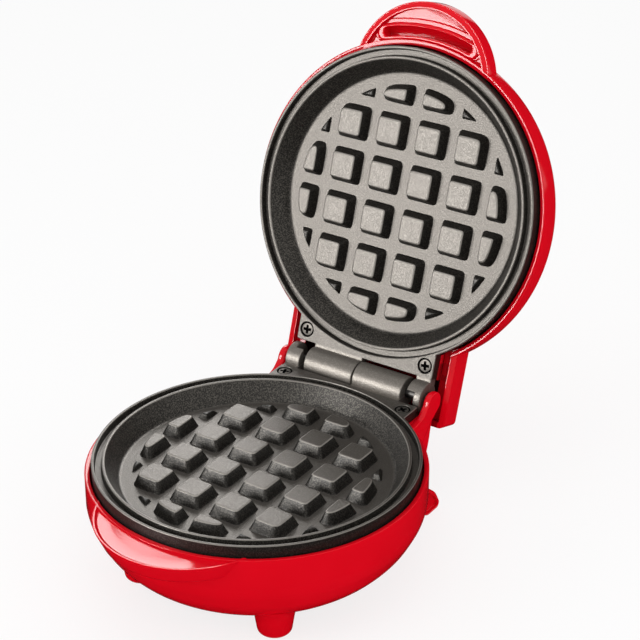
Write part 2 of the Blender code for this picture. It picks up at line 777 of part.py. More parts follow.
def scoop():
    """The hollow in the top of the tongue, deepest next to the plate."""
    slope = (BASE_HANDLE_RADIUS - LIP_EDGE - SCOOP_FLOOR_RADIUS) / SCOOP_DEPTH
    cone = turned(
        (
            (SCOOP_FLOOR_RADIUS, EDGE - SCOOP_DEPTH),
            (BASE_HANDLE_RADIUS - LIP_EDGE + slope * GAP, EDGE + GAP),
        ),
        RIM_STEPS,
    )
    return combined(moved(cone, y=-BASE_HANDLE_FORWARD), keep(in_front_of(-BASE_HANDLE_FORWARD)))


def front_foot():
    return turned(
        (
            (FOOT_TIP_RADIUS, FLOOR_LEVEL),
            (FOOT_END_RADIUS, FLOOR_LEVEL + FOOT_TIP_ROUND),
            (FOOT_ROOT_RADIUS, FLOOR_LEVEL + FOOT_ROOT_HEIGHT),
        ),
        DRUM_STEPS,
    )


def rear_foot():
    """A leg that leaves the bowl beside the block and reaches back to the floor, as a prism along X."""
    front = REAR_FOOT_BACK - REAR_FOOT_REACH
    outline = []
    for back, rise in REAR_FOOT_SHARES:
        outline.append((front + REAR_FOOT_REACH * back, FLOOR_LEVEL + REAR_FOOT_RISE * rise))
    return prism(outline, REAR_FOOT_INNER, REAR_FOOT_OUTER, "X")


def lid_stop():
    """A rib behind the block that the edge of the open lid's guard rests on."""
    reach = GUARD_BACK - HINGE_BACK
    rise = HOUSING_EDGE_DROP + GUARD_EDGE_RISE
    back = HINGE_BACK + reach * math.cos(OPEN_ANGLE) + rise * math.sin(OPEN_ANGLE)
    middle = -reach * math.sin(OPEN_ANGLE) + rise * math.cos(OPEN_ANGLE)
    half = STOP_HEIGHT / 2
    low_corner = (-STOP_HALF_WIDTH, BLOCK_LOW_BACK - WALL, middle - half)
    return box(low_corner, (STOP_HALF_WIDTH, back - GAP, middle + half))


def base_housing_mesh():
    outside, inside = shell_mesh(BASE_DEPTH, BASE_SIDE_DEPTH, BOWL_SHARES)
    seat = along_y(drum(BUSHING_SEAT_RADIUS, INNER_RADIUS - BUSHING_SEAT_INSIDE, BUSHING_SEAT_BACK))
    bushing_way = along_y(drum(BUSHING_RADIUS + GAP, HOUSING_RADIUS / 2, FAR))
    post_top = PLATE_UNDER - FRONT_BOSS_LENGTH - GAP
    post = drum(FRONT_POST_RADIUS, -BASE_DEPTH + WALL - GAP, post_top)
    bore = drum(FRONT_POST_BORE, -BASE_DEPTH - OVERRUN, post_top - FRONT_POST_CAP)
    screw_way = drum(SCREW_HOLE_RADIUS, -BASE_DEPTH, post_top + OVERRUN)
    cheek = prism(cheek_outline(), CHEEK_INNER, BLOCK_HALF_WIDTH, "X")
    steps = [
        add(prism(block_outline(), -BLOCK_HALF_WIDTH, BLOCK_HALF_WIDTH, "X")),
        add(base_handle()),
        add(rear_foot()),
        add(mirrored(rear_foot())),
        cut(inside),
        cut(prism(block_outline(WALL), -BLOCK_HALF_WIDTH + WALL, BLOCK_HALF_WIDTH - WALL, "X")),
        add(cheek),
        add(mirrored(cheek)),
        cut(drum(PLATE_CLEAR_RADIUS, SKIRT_BOTTOM - GAP, OVERRUN, RIM_STEPS)),
        cut(box((-CHEEK_INNER, TROUGH_FRONT, -TROUGH_DEPTH), (CHEEK_INNER, FAR, OVERRUN))),
        add(ledge_mesh(CHEEK_INNER + SUNK)),
        add(lid_stop()),
        cut(scoop()),
    ]
    steps += screw_bosses()
    steps += [add(rib) for rib in support_ribs()]
    for side in (-FRONT_FOOT_SIDE, FRONT_FOOT_SIDE):
        steps.append(add(moved(front_foot(), side, -FRONT_FOOT_FORWARD)))
    steps += [
        add(moved(seat, z=-BUSHING_DROP)),
        cut(moved(bushing_way, z=-BUSHING_DROP)),
        add(moved(post, y=-FRONT_SCREW_FORWARD)),
        cut(moved(bore, y=-FRONT_SCREW_FORWARD)),
        cut(moved(screw_way, y=-FRONT_SCREW_FORWARD)),
    ]
    # Many of a shell's flat tops lie in one plane, where EXACT leaves open edges
    return combined(outside, *steps, solver="MANIFOLD")


# Lid housing, drawn upside down in the lower place and flipped with its object


def guard_outline(inset=0.0):
    """The hinge guard seen from behind, as (x, z) points; its roof rises towards the middle."""
    half = GUARD_OUTER - inset
    crease = EDGE - GUARD_EDGE_RISE - GUARD_HEIGHT + inset
    return (
        (-half, EDGE - GUARD_EDGE_RISE + (OVERRUN if inset else 0)),
        (-half, crease),
        (-half * GUARD_ROOF_SHARE, crease - GUARD_ROOF_RISE),
        (half * GUARD_ROOF_SHARE, crease - GUARD_ROOF_RISE),
        (half, crease),
        (half, EDGE - GUARD_EDGE_RISE + (OVERRUN if inset else 0)),
    )


def guard_prism(inset, front, back):
    """The guard's outline pushed along Y."""
    turn = Matrix.Rotation(math.pi / 2, 4, "X")
    return moved(prism(guard_outline(inset), -back, -front), turn=turn)


def lid_handle():
    """The tongue at the front, still solid."""
    tongue = drum(LID_HANDLE_RADIUS, EDGE - LID_HANDLE_THICKNESS, EDGE, RIM_STEPS)
    return combined(moved(tongue, y=-LID_HANDLE_FORWARD), keep(in_front_of(-LID_HANDLE_FORWARD)))


def lid_handle_recess():
    """The hollow under the tongue, inside its rim wall and outside the housing's wall."""
    hollow = drum(LID_HANDLE_RADIUS - LID_HANDLE_WALL, EDGE - LID_HANDLE_RECESS, EDGE + OVERRUN, RIM_STEPS)
    round_wall = drum(HOUSING_RADIUS, EDGE - LID_HANDLE_THICKNESS, OVERRUN, RIM_STEPS)
    return combined(
        moved(hollow, y=-LID_HANDLE_FORWARD),
        keep(in_front_of(-LID_HANDLE_FORWARD)),
        cut(round_wall),
    )


def finger_slot():
    """A curved slot with round ends, deeper than the recess."""
    middle = SLOT_INNER_RADIUS + SLOT_WIDTH / 2
    half = SLOT_WIDTH / 2
    centres = []
    for step in range(SLOT_STEPS + 1):
        centres.append(-math.pi / 2 + SLOT_HALF_ANGLE * (2 * step / SLOT_STEPS - 1))
    outer = [((middle + half) * math.cos(a), (middle + half) * math.sin(a)) for a in centres]
    inner = [((middle - half) * math.cos(a), (middle - half) * math.sin(a)) for a in reversed(centres)]
    ends = []
    for angle, sign in ((centres[-1], 1), (centres[0], -1)):
        tip = angle + sign * half / middle
        ends.append((middle * math.cos(tip), middle * math.sin(tip)))
    return prism(outer + [ends[0]] + inner + [ends[1]], EDGE - SLOT_DEPTH, EDGE + OVERRUN)


def lid_housing_mesh():
    outside, inside = shell_mesh(LID_HEIGHT, LID_SIDE_HEIGHT, CROWN_SHARES)
    seat_top = lens_seat_level()
    steps = [
        add(guard_prism(0.0, GUARD_FRONT, GUARD_BACK)),
        add(lid_handle()),
        cut(inside),
        cut(guard_prism(GUARD_WALL, GUARD_FRONT, GUARD_BACK - GUARD_WALL)),
        add(guard_ledge()),
        cut(drum(PLATE_CLEAR_RADIUS, SKIRT_BOTTOM - GAP, OVERRUN, RIM_STEPS)),
        cut(lid_handle_recess()),
        cut(finger_slot()),
    ]
    steps += screw_bosses()
    steps += [add(rib) for rib in support_ribs()]
    steps += [
        add(moved(drum(LENS_SEAT_RADIUS, seat_top - LENS_SEAT_HEIGHT, seat_top), y=-INDICATOR_FORWARD)),
        cut(moved(drum(LENS_RADIUS + GAP, -LID_HEIGHT - OVERRUN, seat_top + OVERRUN), y=-INDICATOR_FORWARD)),
    ]
    # Many of a shell's flat tops lie in one plane, where EXACT leaves open edges
    return combined(outside, *steps, solver="MANIFOLD")


def guard_ledge():
    """The lid's shelf under the upper flange, carried by a wall that closes the shell from the guard."""
    half_width = CHEEK_INNER - GAP
    shoulder = -CHEEK_RADIUS - OVERRUN / 2
    front = TROUGH_FRONT - WALL
    narrow = box((-half_width, front, shoulder - SUNK), (half_width, TROUGH_FRONT, LEDGE_TOP - SUNK))
    wide = combined(
        box((-GUARD_OUTER, front, -LID_HEIGHT), (GUARD_OUTER, TROUGH_FRONT, shoulder)),
        keep(guard_prism(GUARD_WALL / 2, GUARD_FRONT, GUARD_BACK)),
    )
    return combined(ledge_mesh(half_width), add(narrow), add(wide))


# Heating element, insulators and reflector


def element_points():
    """Down one tail, round the ring and out along the other tail."""
    start = math.pi / 2 + ELEMENT_GAP_ANGLE
    sweep = math.tau - 2 * ELEMENT_GAP_ANGLE
    ring = []
    for step in range(ELEMENT_ARC_STEPS + 1):
        angle = start + sweep * step / ELEMENT_ARC_STEPS
        x = ELEMENT_RING_RADIUS * math.cos(angle)
        y = ELEMENT_RING_RADIUS * math.sin(angle)
        ring.append((x, y, ELEMENT_LEVEL))
    side = abs(ring[0][0])
    back = ring[0][1]
    bend = back + ELEMENT_BEND_RADIUS
    end = bend + ELEMENT_TAIL
    left = [(-side, end, ELEMENT_LEVEL), (-side, bend, ELEMENT_LEVEL)]
    right = [(side, bend, ELEMENT_LEVEL), (side, end, ELEMENT_LEVEL)]
    return left + ring + right


def element_mesh():
    points = element_points()
    steps = []
    for x, y, z in (points[0], points[-1]):
        steps.append(add(moved(along_y(drum(ELEMENT_PIN_RADIUS, -SUNK, ELEMENT_PIN_LENGTH)), x, y, z)))
    return combined(tube(points, ELEMENT_RADIUS), *steps)


def insulator_mesh():
    """A ceramic bead round a terminal pin, its inner end at the origin, along Y."""
    bore = ELEMENT_PIN_RADIUS + GAP
    return along_y(
        turned_ring(
            ((bore, 0), (INSULATOR_RADIUS, 0), (INSULATOR_RADIUS, INSULATOR_LENGTH), (bore, INSULATOR_LENGTH))
        )
    )


def reflector_mesh(thermostat_hole):
    """A disc of sheet with its rim turned away from the plate, and a screw hole."""
    edge = REFLECTOR_RADIUS
    inner = edge - REFLECTOR_THICKNESS
    pan = turned_ring(
        (
            (SCREW_HOLE_RADIUS, REFLECTOR_TOP),
            (edge, REFLECTOR_TOP),
            (edge, REFLECTOR_UNDER - REFLECTOR_RIM),
            (inner, REFLECTOR_UNDER - REFLECTOR_RIM),
            (inner, REFLECTOR_UNDER),
            (SCREW_HOLE_RADIUS, REFLECTOR_UNDER),
        ),
        DISC_STEPS,
    )
    if not thermostat_hole:
        return pan
    hole = drum(THERMOSTAT_RADIUS + GAP, REFLECTOR_UNDER - OVERRUN, REFLECTOR_TOP + OVERRUN)
    return combined(pan, cut(moved(hole, y=-THERMOSTAT_FORWARD)))


# Thermostat, fuse, wiring


def thermostat_mesh():
    """A round bimetal thermostat, its sensing face at z = 0, with two blades beneath."""
    low = -THERMOSTAT_HEIGHT
    rim = THERMOSTAT_RADIUS + THERMOSTAT_COLLAR
    collar_top = REFLECTOR_UNDER - GAP - (PLATE_UNDER - GAP)
    body = turned(
        (
            (THERMOSTAT_RADIUS, 0),
            (THERMOSTAT_RADIUS, collar_top),
            (rim, collar_top),
            (rim, collar_top - THERMOSTAT_COLLAR_HEIGHT),
            (THERMOSTAT_RADIUS, collar_top - THERMOSTAT_COLLAR_HEIGHT),
            (THERMOSTAT_RADIUS, low),
        ),
        DRUM_STEPS,
    )
    steps = []
    for side in (-BLADE_SIDE, BLADE_SIDE):
        blade = box(
            (side - BLADE_THICKNESS / 2, -BLADE_WIDTH / 2, low - BLADE_LENGTH),
            (side + BLADE_THICKNESS / 2, BLADE_WIDTH / 2, low + SUNK),
        )
        steps.append(add(blade))
    return combined(body, *steps)


def fuse_mesh():
    """A thermal fuse in its sleeve, along Y about the origin."""
    half = FUSE_LENGTH / 2
    return along_y(
        turned(
            (
                (FUSE_RADIUS / 2, -half),
                (FUSE_RADIUS, -half + FUSE_RADIUS / 2),
                (FUSE_RADIUS, half - FUSE_RADIUS / 2),
                (FUSE_RADIUS / 2, half),
            )
        )
    )


def fuse_clip_mesh():
    """A strap over the fuse with two feet against the reflector; the fuse's axis is the origin."""
    outer = FUSE_RADIUS + GAP + FUSE_CLIP_WALL
    foot_top = FUSE_RADIUS
    half = FUSE_CLIP_LENGTH / 2
    strap = along_y(drum(outer, -half, half, DRUM_STEPS))
    bore = along_y(drum(FUSE_RADIUS + GAP, -half - OVERRUN, half + OVERRUN, DRUM_STEPS))
    reach = outer + FUSE_CLIP_FOOT
    feet = box((-reach, -half, foot_top - FUSE_CLIP_WALL), (reach, half, foot_top))
    over = box((-FAR, -FAR, foot_top), (FAR, FAR, FAR))
    return combined(strap, add(feet), cut(bore), cut(over))


def bushing_mesh():
    """A flanged bushing for the inlet, along Y, its collar's front face at the origin."""
    return along_y(
        turned_ring(
            (
                (BUSHING_BORE_RADIUS, -BUSHING_LENGTH),
                (BUSHING_RADIUS, -BUSHING_LENGTH),
                (BUSHING_RADIUS, 0),
                (COLLAR_RADIUS, 0),
                (COLLAR_RADIUS, COLLAR_LENGTH),
                (BUSHING_BORE_RADIUS, COLLAR_LENGTH),
            ),
            DRUM_STEPS,
        )
    )


def terminal_block_mesh():
    """A two-way terminal block standing at z = 0, with a groove between its ways."""
    width, length, height = TERMINAL_BLOCK_SIZE
    half = TERMINAL_GROOVE / 2
    groove = box((-half, -length, height - TERMINAL_GROOVE), (half, length, height + OVERRUN))
    return combined(box((-width / 2, -length / 2, 0), (width / 2, length / 2, height)), cut(groove))


def smooth_route(start, end):
    """Points on a smooth curve that leaves and arrives along Y, with a change of height on its way."""
    points = []
    for step in range(LEAD_STEPS + 1):
        share = step / LEAD_STEPS
        ease = share * share * (3 - 2 * share)
        place = Vector(start).lerp(Vector(end), share)
        place.x = start[0] + (end[0] - start[0]) * ease
        place.z = start[2] + (end[2] - start[2]) * ease
        points.append(tuple(place))
    return points


# Indicator


def crown_level(radius):
    """The height of the lid's crown at this radius, as it is made, with the crown downwards."""
    radii = [HOUSING_RADIUS * share for share, rise in reversed(CROWN_SHARES)]
    rises = [rise for share, rise in reversed(CROWN_SHARES)]
    return -LID_SIDE_HEIGHT - (LID_HEIGHT - LID_SIDE_HEIGHT) * float(np.interp(radius, radii, rises))


def lens_seat_level():
    """The seat's inner face, clear of the crown's wall on the side where the wall stands highest."""
    return crown_level(INDICATOR_FORWARD + LENS_SEAT_RADIUS) + WALL + LENS_SEAT_CLEARANCE


def lens_mesh(top):
    """A lens for the lid's hole, its flange face at z = 0 and its domed end downwards to -top."""
    return turned(
        (
            (LENS_FLANGE_RADIUS, LENS_FLANGE_HEIGHT),
            (LENS_FLANGE_RADIUS, 0),
            (LENS_RADIUS, 0),
            (LENS_RADIUS, -top + LENS_FLANGE_HEIGHT / 2),
            (LENS_RADIUS * LENS_TIP_SHARE, -top),
        )
    )


def holder_mesh():
    bore = LAMP_RADIUS + GAP
    return turned_ring(
        (
            (bore, 0),
            (bore + HOLDER_WALL, 0),
            (bore + HOLDER_WALL, HOLDER_HEIGHT),
            (bore, HOLDER_HEIGHT),
        )
    )


def lamp_mesh():
    return turned(
        (
            (LAMP_RADIUS / 2, 0),
            (LAMP_RADIUS, LAMP_RADIUS / 2),
            (LAMP_RADIUS, LAMP_LENGTH - LAMP_RADIUS / 4),
            (LAMP_RADIUS / 2, LAMP_LENGTH),
        )
    )


# Assembly


def carry_half(half, parent, place, flipped, looks, plate, screw):
    """The pieces that the base and the lid both hold, named lower_ or upper_."""
    sign = -1 if flipped else 1

    def spot(x, y, z):
        return (sign * x + place[0], y + place[1], sign * z + place[2])

    def put(name, mesh, look, x=0.0, y=0.0, z=0.0):
        return piece(f"{half}_{name}", mesh, looks[look], parent, spot(x, y, z), flipped)

    put("plate", plate, "coating")
    seat = LIP_TOP - COUNTERBORE_DEPTH + GAP + SCREW_HEAD_HEIGHT
    for side, x in (("left", -PLATE_SCREW_SIDE), ("right", PLATE_SCREW_SIDE)):
        put(f"plate_screw_{side}", screw, "zinc", x, PLATE_SCREW_BACK, seat)
    put("heating_element", element_mesh(), "steel")
    x, y, z = element_points()[-1]
    for side, across in (("left", -x), ("right", x)):
        put(f"insulator_{side}", insulator_mesh(), "ceramic", across, y + GAP, z)
    put("heat_reflector", reflector_mesh(not flipped), "bright_sheet")


def reflector_screw_mesh():
    """The screw up into a plate's middle boss, its head's outer face downwards at z = 0."""
    return moved(screw_mesh(), turn=Matrix.Rotation(math.pi, 4, "X"))


def build_base(root, looks, plate, screw):
    carry_half("lower", root, (0, 0, 0), False, looks, plate, screw)
    piece("base_housing", base_housing_mesh(), looks["red"], root)
    piece("hinge_pin", pin_mesh(), looks["steel"], root, (0, HINGE_BACK, 0))
    head = REFLECTOR_UNDER - GAP - SCREW_HEAD_HEIGHT
    piece("lower_reflector_screw", reflector_screw_mesh(), looks["zinc"], root, (0, 0, head))
    front_head = PLATE_UNDER - FRONT_BOSS_LENGTH - GAP - FRONT_POST_CAP - GAP - SCREW_HEAD_HEIGHT
    front_screw = moved(screw_mesh(FRONT_SCREW_LENGTH), turn=Matrix.Rotation(math.pi, 4, "X"))
    piece("base_front_screw", front_screw, looks["zinc"], root, (0, -FRONT_SCREW_FORWARD, front_head))
    sensing = (0, -THERMOSTAT_FORWARD, PLATE_UNDER - GAP)
    piece("thermostat", thermostat_mesh(), looks["black"], root, sensing)
    fuse_level = REFLECTOR_UNDER - GAP - FUSE_RADIUS
    piece("thermal_fuse", fuse_mesh(), looks["ceramic"], root, (FUSE_SIDE, 0, fuse_level))
    piece("fuse_clip", fuse_clip_mesh(), looks["bright_sheet"], root, (FUSE_SIDE, 0, fuse_level))
    collar = BUSHING_SEAT_BACK + GAP
    piece("inlet_bushing", bushing_mesh(), looks["black"], root, (0, collar, -BUSHING_DROP))
    block_floor = -BASE_DEPTH + WALL + GAP
    block_place = (0, TERMINAL_BLOCK_BACK, block_floor)
    piece("terminal_block", terminal_block_mesh(), looks["ceramic"], root, block_place)
    build_leads(root, looks, block_floor, collar)


def build_leads(root, looks, block_floor, collar):
    """Two leads from the inlet to the terminal block, and two from it to the element's pins."""
    length, height = TERMINAL_BLOCK_SIZE[1:]
    middle = block_floor + height / 2
    block_back = TERMINAL_BLOCK_BACK + length / 2 + GAP
    inlet = BUSHING_BORE_RADIUS - LEAD_RADIUS - GAP
    for side, sign, look in (("live", -1, "lead_brown"), ("neutral", 1, "lead_blue")):
        start = (sign * inlet, collar - BUSHING_LENGTH / 2, -BUSHING_DROP)
        end = (sign * INLET_LEAD_SIDE, block_back, middle)
        piece(f"inlet_lead_{side}", tube(smooth_route(start, end), LEAD_RADIUS), looks[look], root)
        pin = element_points()[-1]
        top = (sign * pin[0], pin[1] + ELEMENT_PIN_LENGTH + GAP, pin[2])
        end = (sign * ELEMENT_LEAD_SIDE, block_back, middle)
        piece(f"element_lead_{side}", tube(element_route(top, end), LEAD_RADIUS), looks[look], root)


def element_route(top, end):
    """From an element pin back and down in a half loop, then forward under the reflector."""
    x, y, z = top
    loop = []
    for step in range(LOOP_STEPS):
        angle = math.pi * step / LOOP_STEPS
        back = LEAD_LOOP_REACH * math.sin(angle)
        drop = LEAD_LOOP_DROP * (1 - math.cos(angle)) / 2
        loop.append((x, y + back, z - drop))
    return loop + smooth_route((x, y, z - LEAD_LOOP_DROP), end)


def build_lid(hinge, looks, plate, screw):
    place = (0, -HINGE_BACK, 0)
    carry_half("upper", hinge, place, True, looks, plate, screw)
    piece("lid_housing", lid_housing_mesh(), looks["red"], hinge, place, True)
    head_place = (0, -HINGE_BACK, -(REFLECTOR_UNDER - GAP - SCREW_HEAD_HEIGHT))
    piece("upper_reflector_screw", reflector_screw_mesh(), looks["zinc"], hinge, head_place, True)
    front = -HINGE_BACK - INDICATOR_FORWARD
    flange = lens_seat_level() + GAP
    lens = lens_mesh(flange - crown_level(INDICATOR_FORWARD) + LENS_STAND)
    piece("indicator_lens", lens, looks["lens"], hinge, (0, front, -flange), True)
    holder = flange + LENS_FLANGE_HEIGHT + GAP
    piece("lamp_holder", holder_mesh(), looks["black"], hinge, (0, front, -holder), True)
    piece("indicator_lamp", lamp_mesh(), looks["glass"], hinge, (0, front, -holder), True)


def stand_on_floor(root):
    """Moves the whole machine so that its box stands on z = 0 round the Z axis."""
    bpy.context.view_layer.update()
    low = np.full(3, np.inf)
    high = -low
    for made in bpy.context.scene.objects:
        if made.type != "MESH":
            continue
        places = np.empty(len(made.data.vertices) * 3)
        made.data.vertices.foreach_get("co", places)
        world = np.array(made.matrix_world)
        places = places.reshape(-1, 3) @ world[:3, :3].T + world[:3, 3]
        low = np.minimum(low, places.min(axis=0))
        high = np.maximum(high, places.max(axis=0))
    root.location = (-(low[0] + high[0]) / 2, -(low[1] + high[1]) / 2, -low[2])
    bpy.context.view_layer.update()


def main():
    for leftover in list(bpy.data.objects):
        bpy.data.objects.remove(leftover)
    looks = {
        "red": material("red_gloss", (0.68, 0.002, 0.010), 0.18, coat=0.6),
        "coating": material("nonstick", (0.060, 0.054, 0.048), 0.42, 0.55),
        "zinc": material("screw_zinc", (0.45, 0.43, 0.41), 0.35, 0.9),
        "steel": material("steel", (0.50, 0.49, 0.48), 0.35, 1.0),
        "bright_sheet": material("bright_sheet", (0.72, 0.73, 0.74), 0.3, 1.0),
        "ceramic": material("ceramic", (0.80, 0.76, 0.68), 0.6),
        "black": material("black_plastic", (0.02, 0.02, 0.02), 0.5),
        "lens": material("lens", (0.75, 0.12, 0.05), 0.15),
        "glass": material("lamp_glass", (0.85, 0.80, 0.75), 0.1),
        "lead_brown": material("lead_brown", (0.12, 0.05, 0.02), 0.5),
        "lead_blue": material("lead_blue", (0.02, 0.06, 0.35), 0.5),
    }
    root = frame("waffle_maker")
    hinge = frame("lid_hinge_axis", root, (0, HINGE_BACK, 0), -OPEN_ANGLE)
    plate = plate_mesh()
    screw = screw_mesh()
    build_base(root, looks, plate, screw)
    build_lid(hinge, looks, plate, screw)
    stand_on_floor(root)
    print("hinge axis at", [round(value, 6) for value in hinge.matrix_world.translation])


main()
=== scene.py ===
# %% [markdown]
# # Mini waffle maker
#
# A small round waffle maker stands open: a red lower shell on four feet carries one cast plate,
# and a red lid, turned back on the hinge pin, carries the other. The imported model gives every
# piece's place. This script gives the pieces that show their fine surfaces, and all of them
# their materials. Sizes are in millimetres until a piece is put in its place.

# %% Load the frame
import json
import math

import bmesh
import bpy
import numpy as np
from mathutils import Matrix, Vector

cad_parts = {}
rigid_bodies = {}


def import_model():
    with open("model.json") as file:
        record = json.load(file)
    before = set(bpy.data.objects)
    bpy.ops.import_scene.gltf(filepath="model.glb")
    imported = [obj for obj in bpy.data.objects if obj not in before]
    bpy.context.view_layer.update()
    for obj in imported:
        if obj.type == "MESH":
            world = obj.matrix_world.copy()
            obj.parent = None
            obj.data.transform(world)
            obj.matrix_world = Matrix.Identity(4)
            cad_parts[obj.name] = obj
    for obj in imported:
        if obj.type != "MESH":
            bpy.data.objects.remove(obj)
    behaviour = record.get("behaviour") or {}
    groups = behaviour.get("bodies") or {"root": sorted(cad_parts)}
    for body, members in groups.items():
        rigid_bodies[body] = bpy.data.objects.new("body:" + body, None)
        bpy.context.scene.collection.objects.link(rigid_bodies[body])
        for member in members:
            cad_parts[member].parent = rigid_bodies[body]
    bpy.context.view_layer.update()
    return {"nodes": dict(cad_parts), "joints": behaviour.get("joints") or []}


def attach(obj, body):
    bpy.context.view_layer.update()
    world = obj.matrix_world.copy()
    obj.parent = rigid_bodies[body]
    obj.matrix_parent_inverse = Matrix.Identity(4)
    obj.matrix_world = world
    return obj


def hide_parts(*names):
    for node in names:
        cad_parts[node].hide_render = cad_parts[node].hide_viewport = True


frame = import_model()
nodes = frame["nodes"]
MM = 0.001

# %% [markdown]
# ## Where the two halves stand
#
# Everything is drawn in the closed machine: the plates meet at z = 0 about the rims' centre,
# and +Y points back to the hinge. The base only has to be shifted. A lid piece is drawn like a
# base piece, turned half round about Y, and then swung open about the pin. Drawing both halves
# in one place is simpler than drawing the lid aslant, and the same casting then serves twice.

# %% Places of the two halves
HINGE_BACK = 68.83
hinge = frame["joints"][0]
pin_place = Vector(hinge["pos_m"])
open_angle = math.radians(hinge["range_deg"][1])
middle = Vector((0, -HINGE_BACK * MM, 0))

base_place = Matrix.Translation(pin_place + middle)
swing = Matrix.Rotation(-open_angle, 4, "X")
half_turn = Matrix.Rotation(math.pi, 4, "Y")
lid_place = Matrix.Translation(pin_place) @ swing @ Matrix.Translation(middle) @ half_turn
PLACES = {"base": base_place, "lid": lid_place}
print("hinge pin at", tuple(round(value, 4) for value in pin_place))
print("open by", round(math.degrees(open_angle), 2), "degrees")

# %% [markdown]
# ## Camera
#
# The camera stands where the photograph was taken from: about 34 degrees round to the right and
# 27 degrees up, with a long lens. It is aimed at a point between the two plates.

# %% Camera
CAMERA_AZIMUTH = math.radians(33.78)
CAMERA_ELEVATION = math.radians(27.491)
CAMERA_DISTANCE = 674.245
CAMERA_TARGET = (27.162, 0.722, 62.122)
FOCAL_LENGTH = 110.325

target = base_place @ (Vector(CAMERA_TARGET) * MM)
outward = Vector(
    (
        math.sin(CAMERA_AZIMUTH) * math.cos(CAMERA_ELEVATION),
        -math.cos(CAMERA_AZIMUTH) * math.cos(CAMERA_ELEVATION),
        math.sin(CAMERA_ELEVATION),
    )
)
camera = bpy.data.objects.new("camera", bpy.data.cameras.new("camera"))
camera.location = target + outward * CAMERA_DISTANCE * MM
camera.rotation_euler = (-outward).to_track_quat("-Z", "Y").to_euler()
camera.data.lens = FOCAL_LENGTH
camera.data.clip_start = 0.01
bpy.context.scene.collection.objects.link(camera)
bpy.context.scene.camera = camera
bpy.context.scene.view_settings.view_transform = "Standard"
print("camera at", tuple(round(value, 3) for value in camera.location))

# %% [markdown]
# ## Writing shaders as sums
#
# A material's noise, masks and bumps are small pieces of arithmetic. Placing a Math node by hand
# for each one hides what is meant, so `Wire` wraps a socket and lets Python's own operators add
# the nodes. `Sheet` makes every other node from its type, its settings and its sockets.


# %% Wire and Sheet
class Wire:
    """One output socket. A sum or product with a number or another wire adds a Math node."""

    def __init__(self, sheet, socket):
        self.sheet = sheet
        self.socket = socket

    def __add__(self, other):
        return self.sheet.math("ADD", self, other)

    def __sub__(self, other):
        return self.sheet.math("SUBTRACT", self, other)

    def __rsub__(self, other):
        return self.sheet.math("SUBTRACT", other, self)

    def __mul__(self, other):
        return self.sheet.math("MULTIPLY", self, other)

    __radd__ = __add__
    __rmul__ = __mul__

    def above(self, low, high):
        """0 below low, 1 above high, with a smooth step t = 3 s^2 - 2 s^3 between."""
        values = {0: self, 1: low, 2: high, 3: 0.0, 4: 1.0}
        return self.sheet.out("ShaderNodeMapRange", {"interpolation_type": "SMOOTHSTEP"}, values)

    def within(self, low, high, soft):
        """1 between low and high, falling off over soft on both sides."""
        return self.above(low - soft, low) * (1 - self.above(high, high + soft))


class Sheet:
    """The node tree of a material or of the world, and the one way to add a node to it."""

    def __init__(self, owner):
        owner.use_nodes = True
        self.owner = owner
        self.tree = owner.node_tree

    def node(self, kind, settings, sockets):
        made = self.tree.nodes.new(kind)
        for name, value in settings.items():
            setattr(made, name, value)
        for name, value in sockets.items():
            self.feed(made.inputs[name], value)
        return made

    def feed(self, socket, value):
        if isinstance(value, Wire):
            self.tree.links.new(value.socket, socket)
        else:
            socket.default_value = value

    def out(self, kind, settings, sockets, output=0):
        return Wire(self, self.node(kind, settings, sockets).outputs[output])

    def math(self, operation, first, second):
        return self.out("ShaderNodeMath", {"operation": operation}, {0: first, 1: second})

    def mix(self, factor, first, second):
        return self.out("ShaderNodeMix", {"data_type": "RGBA"}, {0: factor, 6: first, 7: second}, 2)

    def noise(self, place, scale, detail=2.0, roughness=0.5):
        values = {"Vector": place, "Scale": scale, "Detail": detail, "Roughness": roughness}
        return self.out("ShaderNodeTexNoise", {}, values)

    def bump(self, height, strength, depth):
        values = {"Height": height, "Strength": strength, "Distance": depth}
        return self.out("ShaderNodeBump", {}, values)

    def dress(self, values):
        """Wires and numbers for the sockets of the material's own shader. Gives back the material."""
        surface = self.tree.nodes["Principled BSDF"]
        for name, value in values.items():
            self.feed(surface.inputs[name], value)
        return self.owner


def new_sheet(name):
    return Sheet(bpy.data.materials.new(name))


# %% [markdown]
# ## Floor, background and lamps
#
# The floor and the background are white. A white floor lit to pure white would also flood the
# object with light, so the floor glows only for the camera and for reflections, and keeps a
# share of real shading that shows the object's soft shadow. A studio sets the gloss and the fill
# of a shiny object apart, with strips for the one and sails for the other. Ray visibility does
# that here: two boxes are seen only in reflections, in front and behind on the left, where the
# handle, the upper plate and the tongue mirror them, and three others only light the surfaces. A
# glossy red over a bright table turns pink where it is seen at a low angle. A photographer then
# lays a dark card round the object, stands one behind it, and cuts the object out later. Two cards
# that only reflections see stand for them, one a little above the floor.

# %% Floor and world
FLOOR_HALF = 1.5
FLOOR_COLOUR = (0.9, 0.9, 0.9, 1)
FLOOR_SHADE_SHARE = 0.2
CARD_COLOUR = (0.01, 0.01, 0.01, 1)
PAPER_ROUGHNESS = 0.9
AMBIENT = 0.8
WHITE = (1, 1, 1, 1)


def seen_rays(sheet):
    """1 for what the camera sees directly, in a reflection or through glass."""
    path = sheet.node("ShaderNodeLightPath", {}, {})
    camera_ray, glossy, clear = (
        Wire(sheet, path.outputs[name]) for name in ("Is Camera Ray", "Is Glossy Ray", "Is Transmission Ray")
    )
    return sheet.math("MINIMUM", camera_ray + glossy + clear, 1.0)


def paper(name, colour):
    """The sheet of a matt material without any gloss."""
    sheet = new_sheet(name)
    sheet.dress({"Base Color": colour, "Roughness": PAPER_ROUGHNESS, "Specular IOR Level": 0.0})
    return sheet


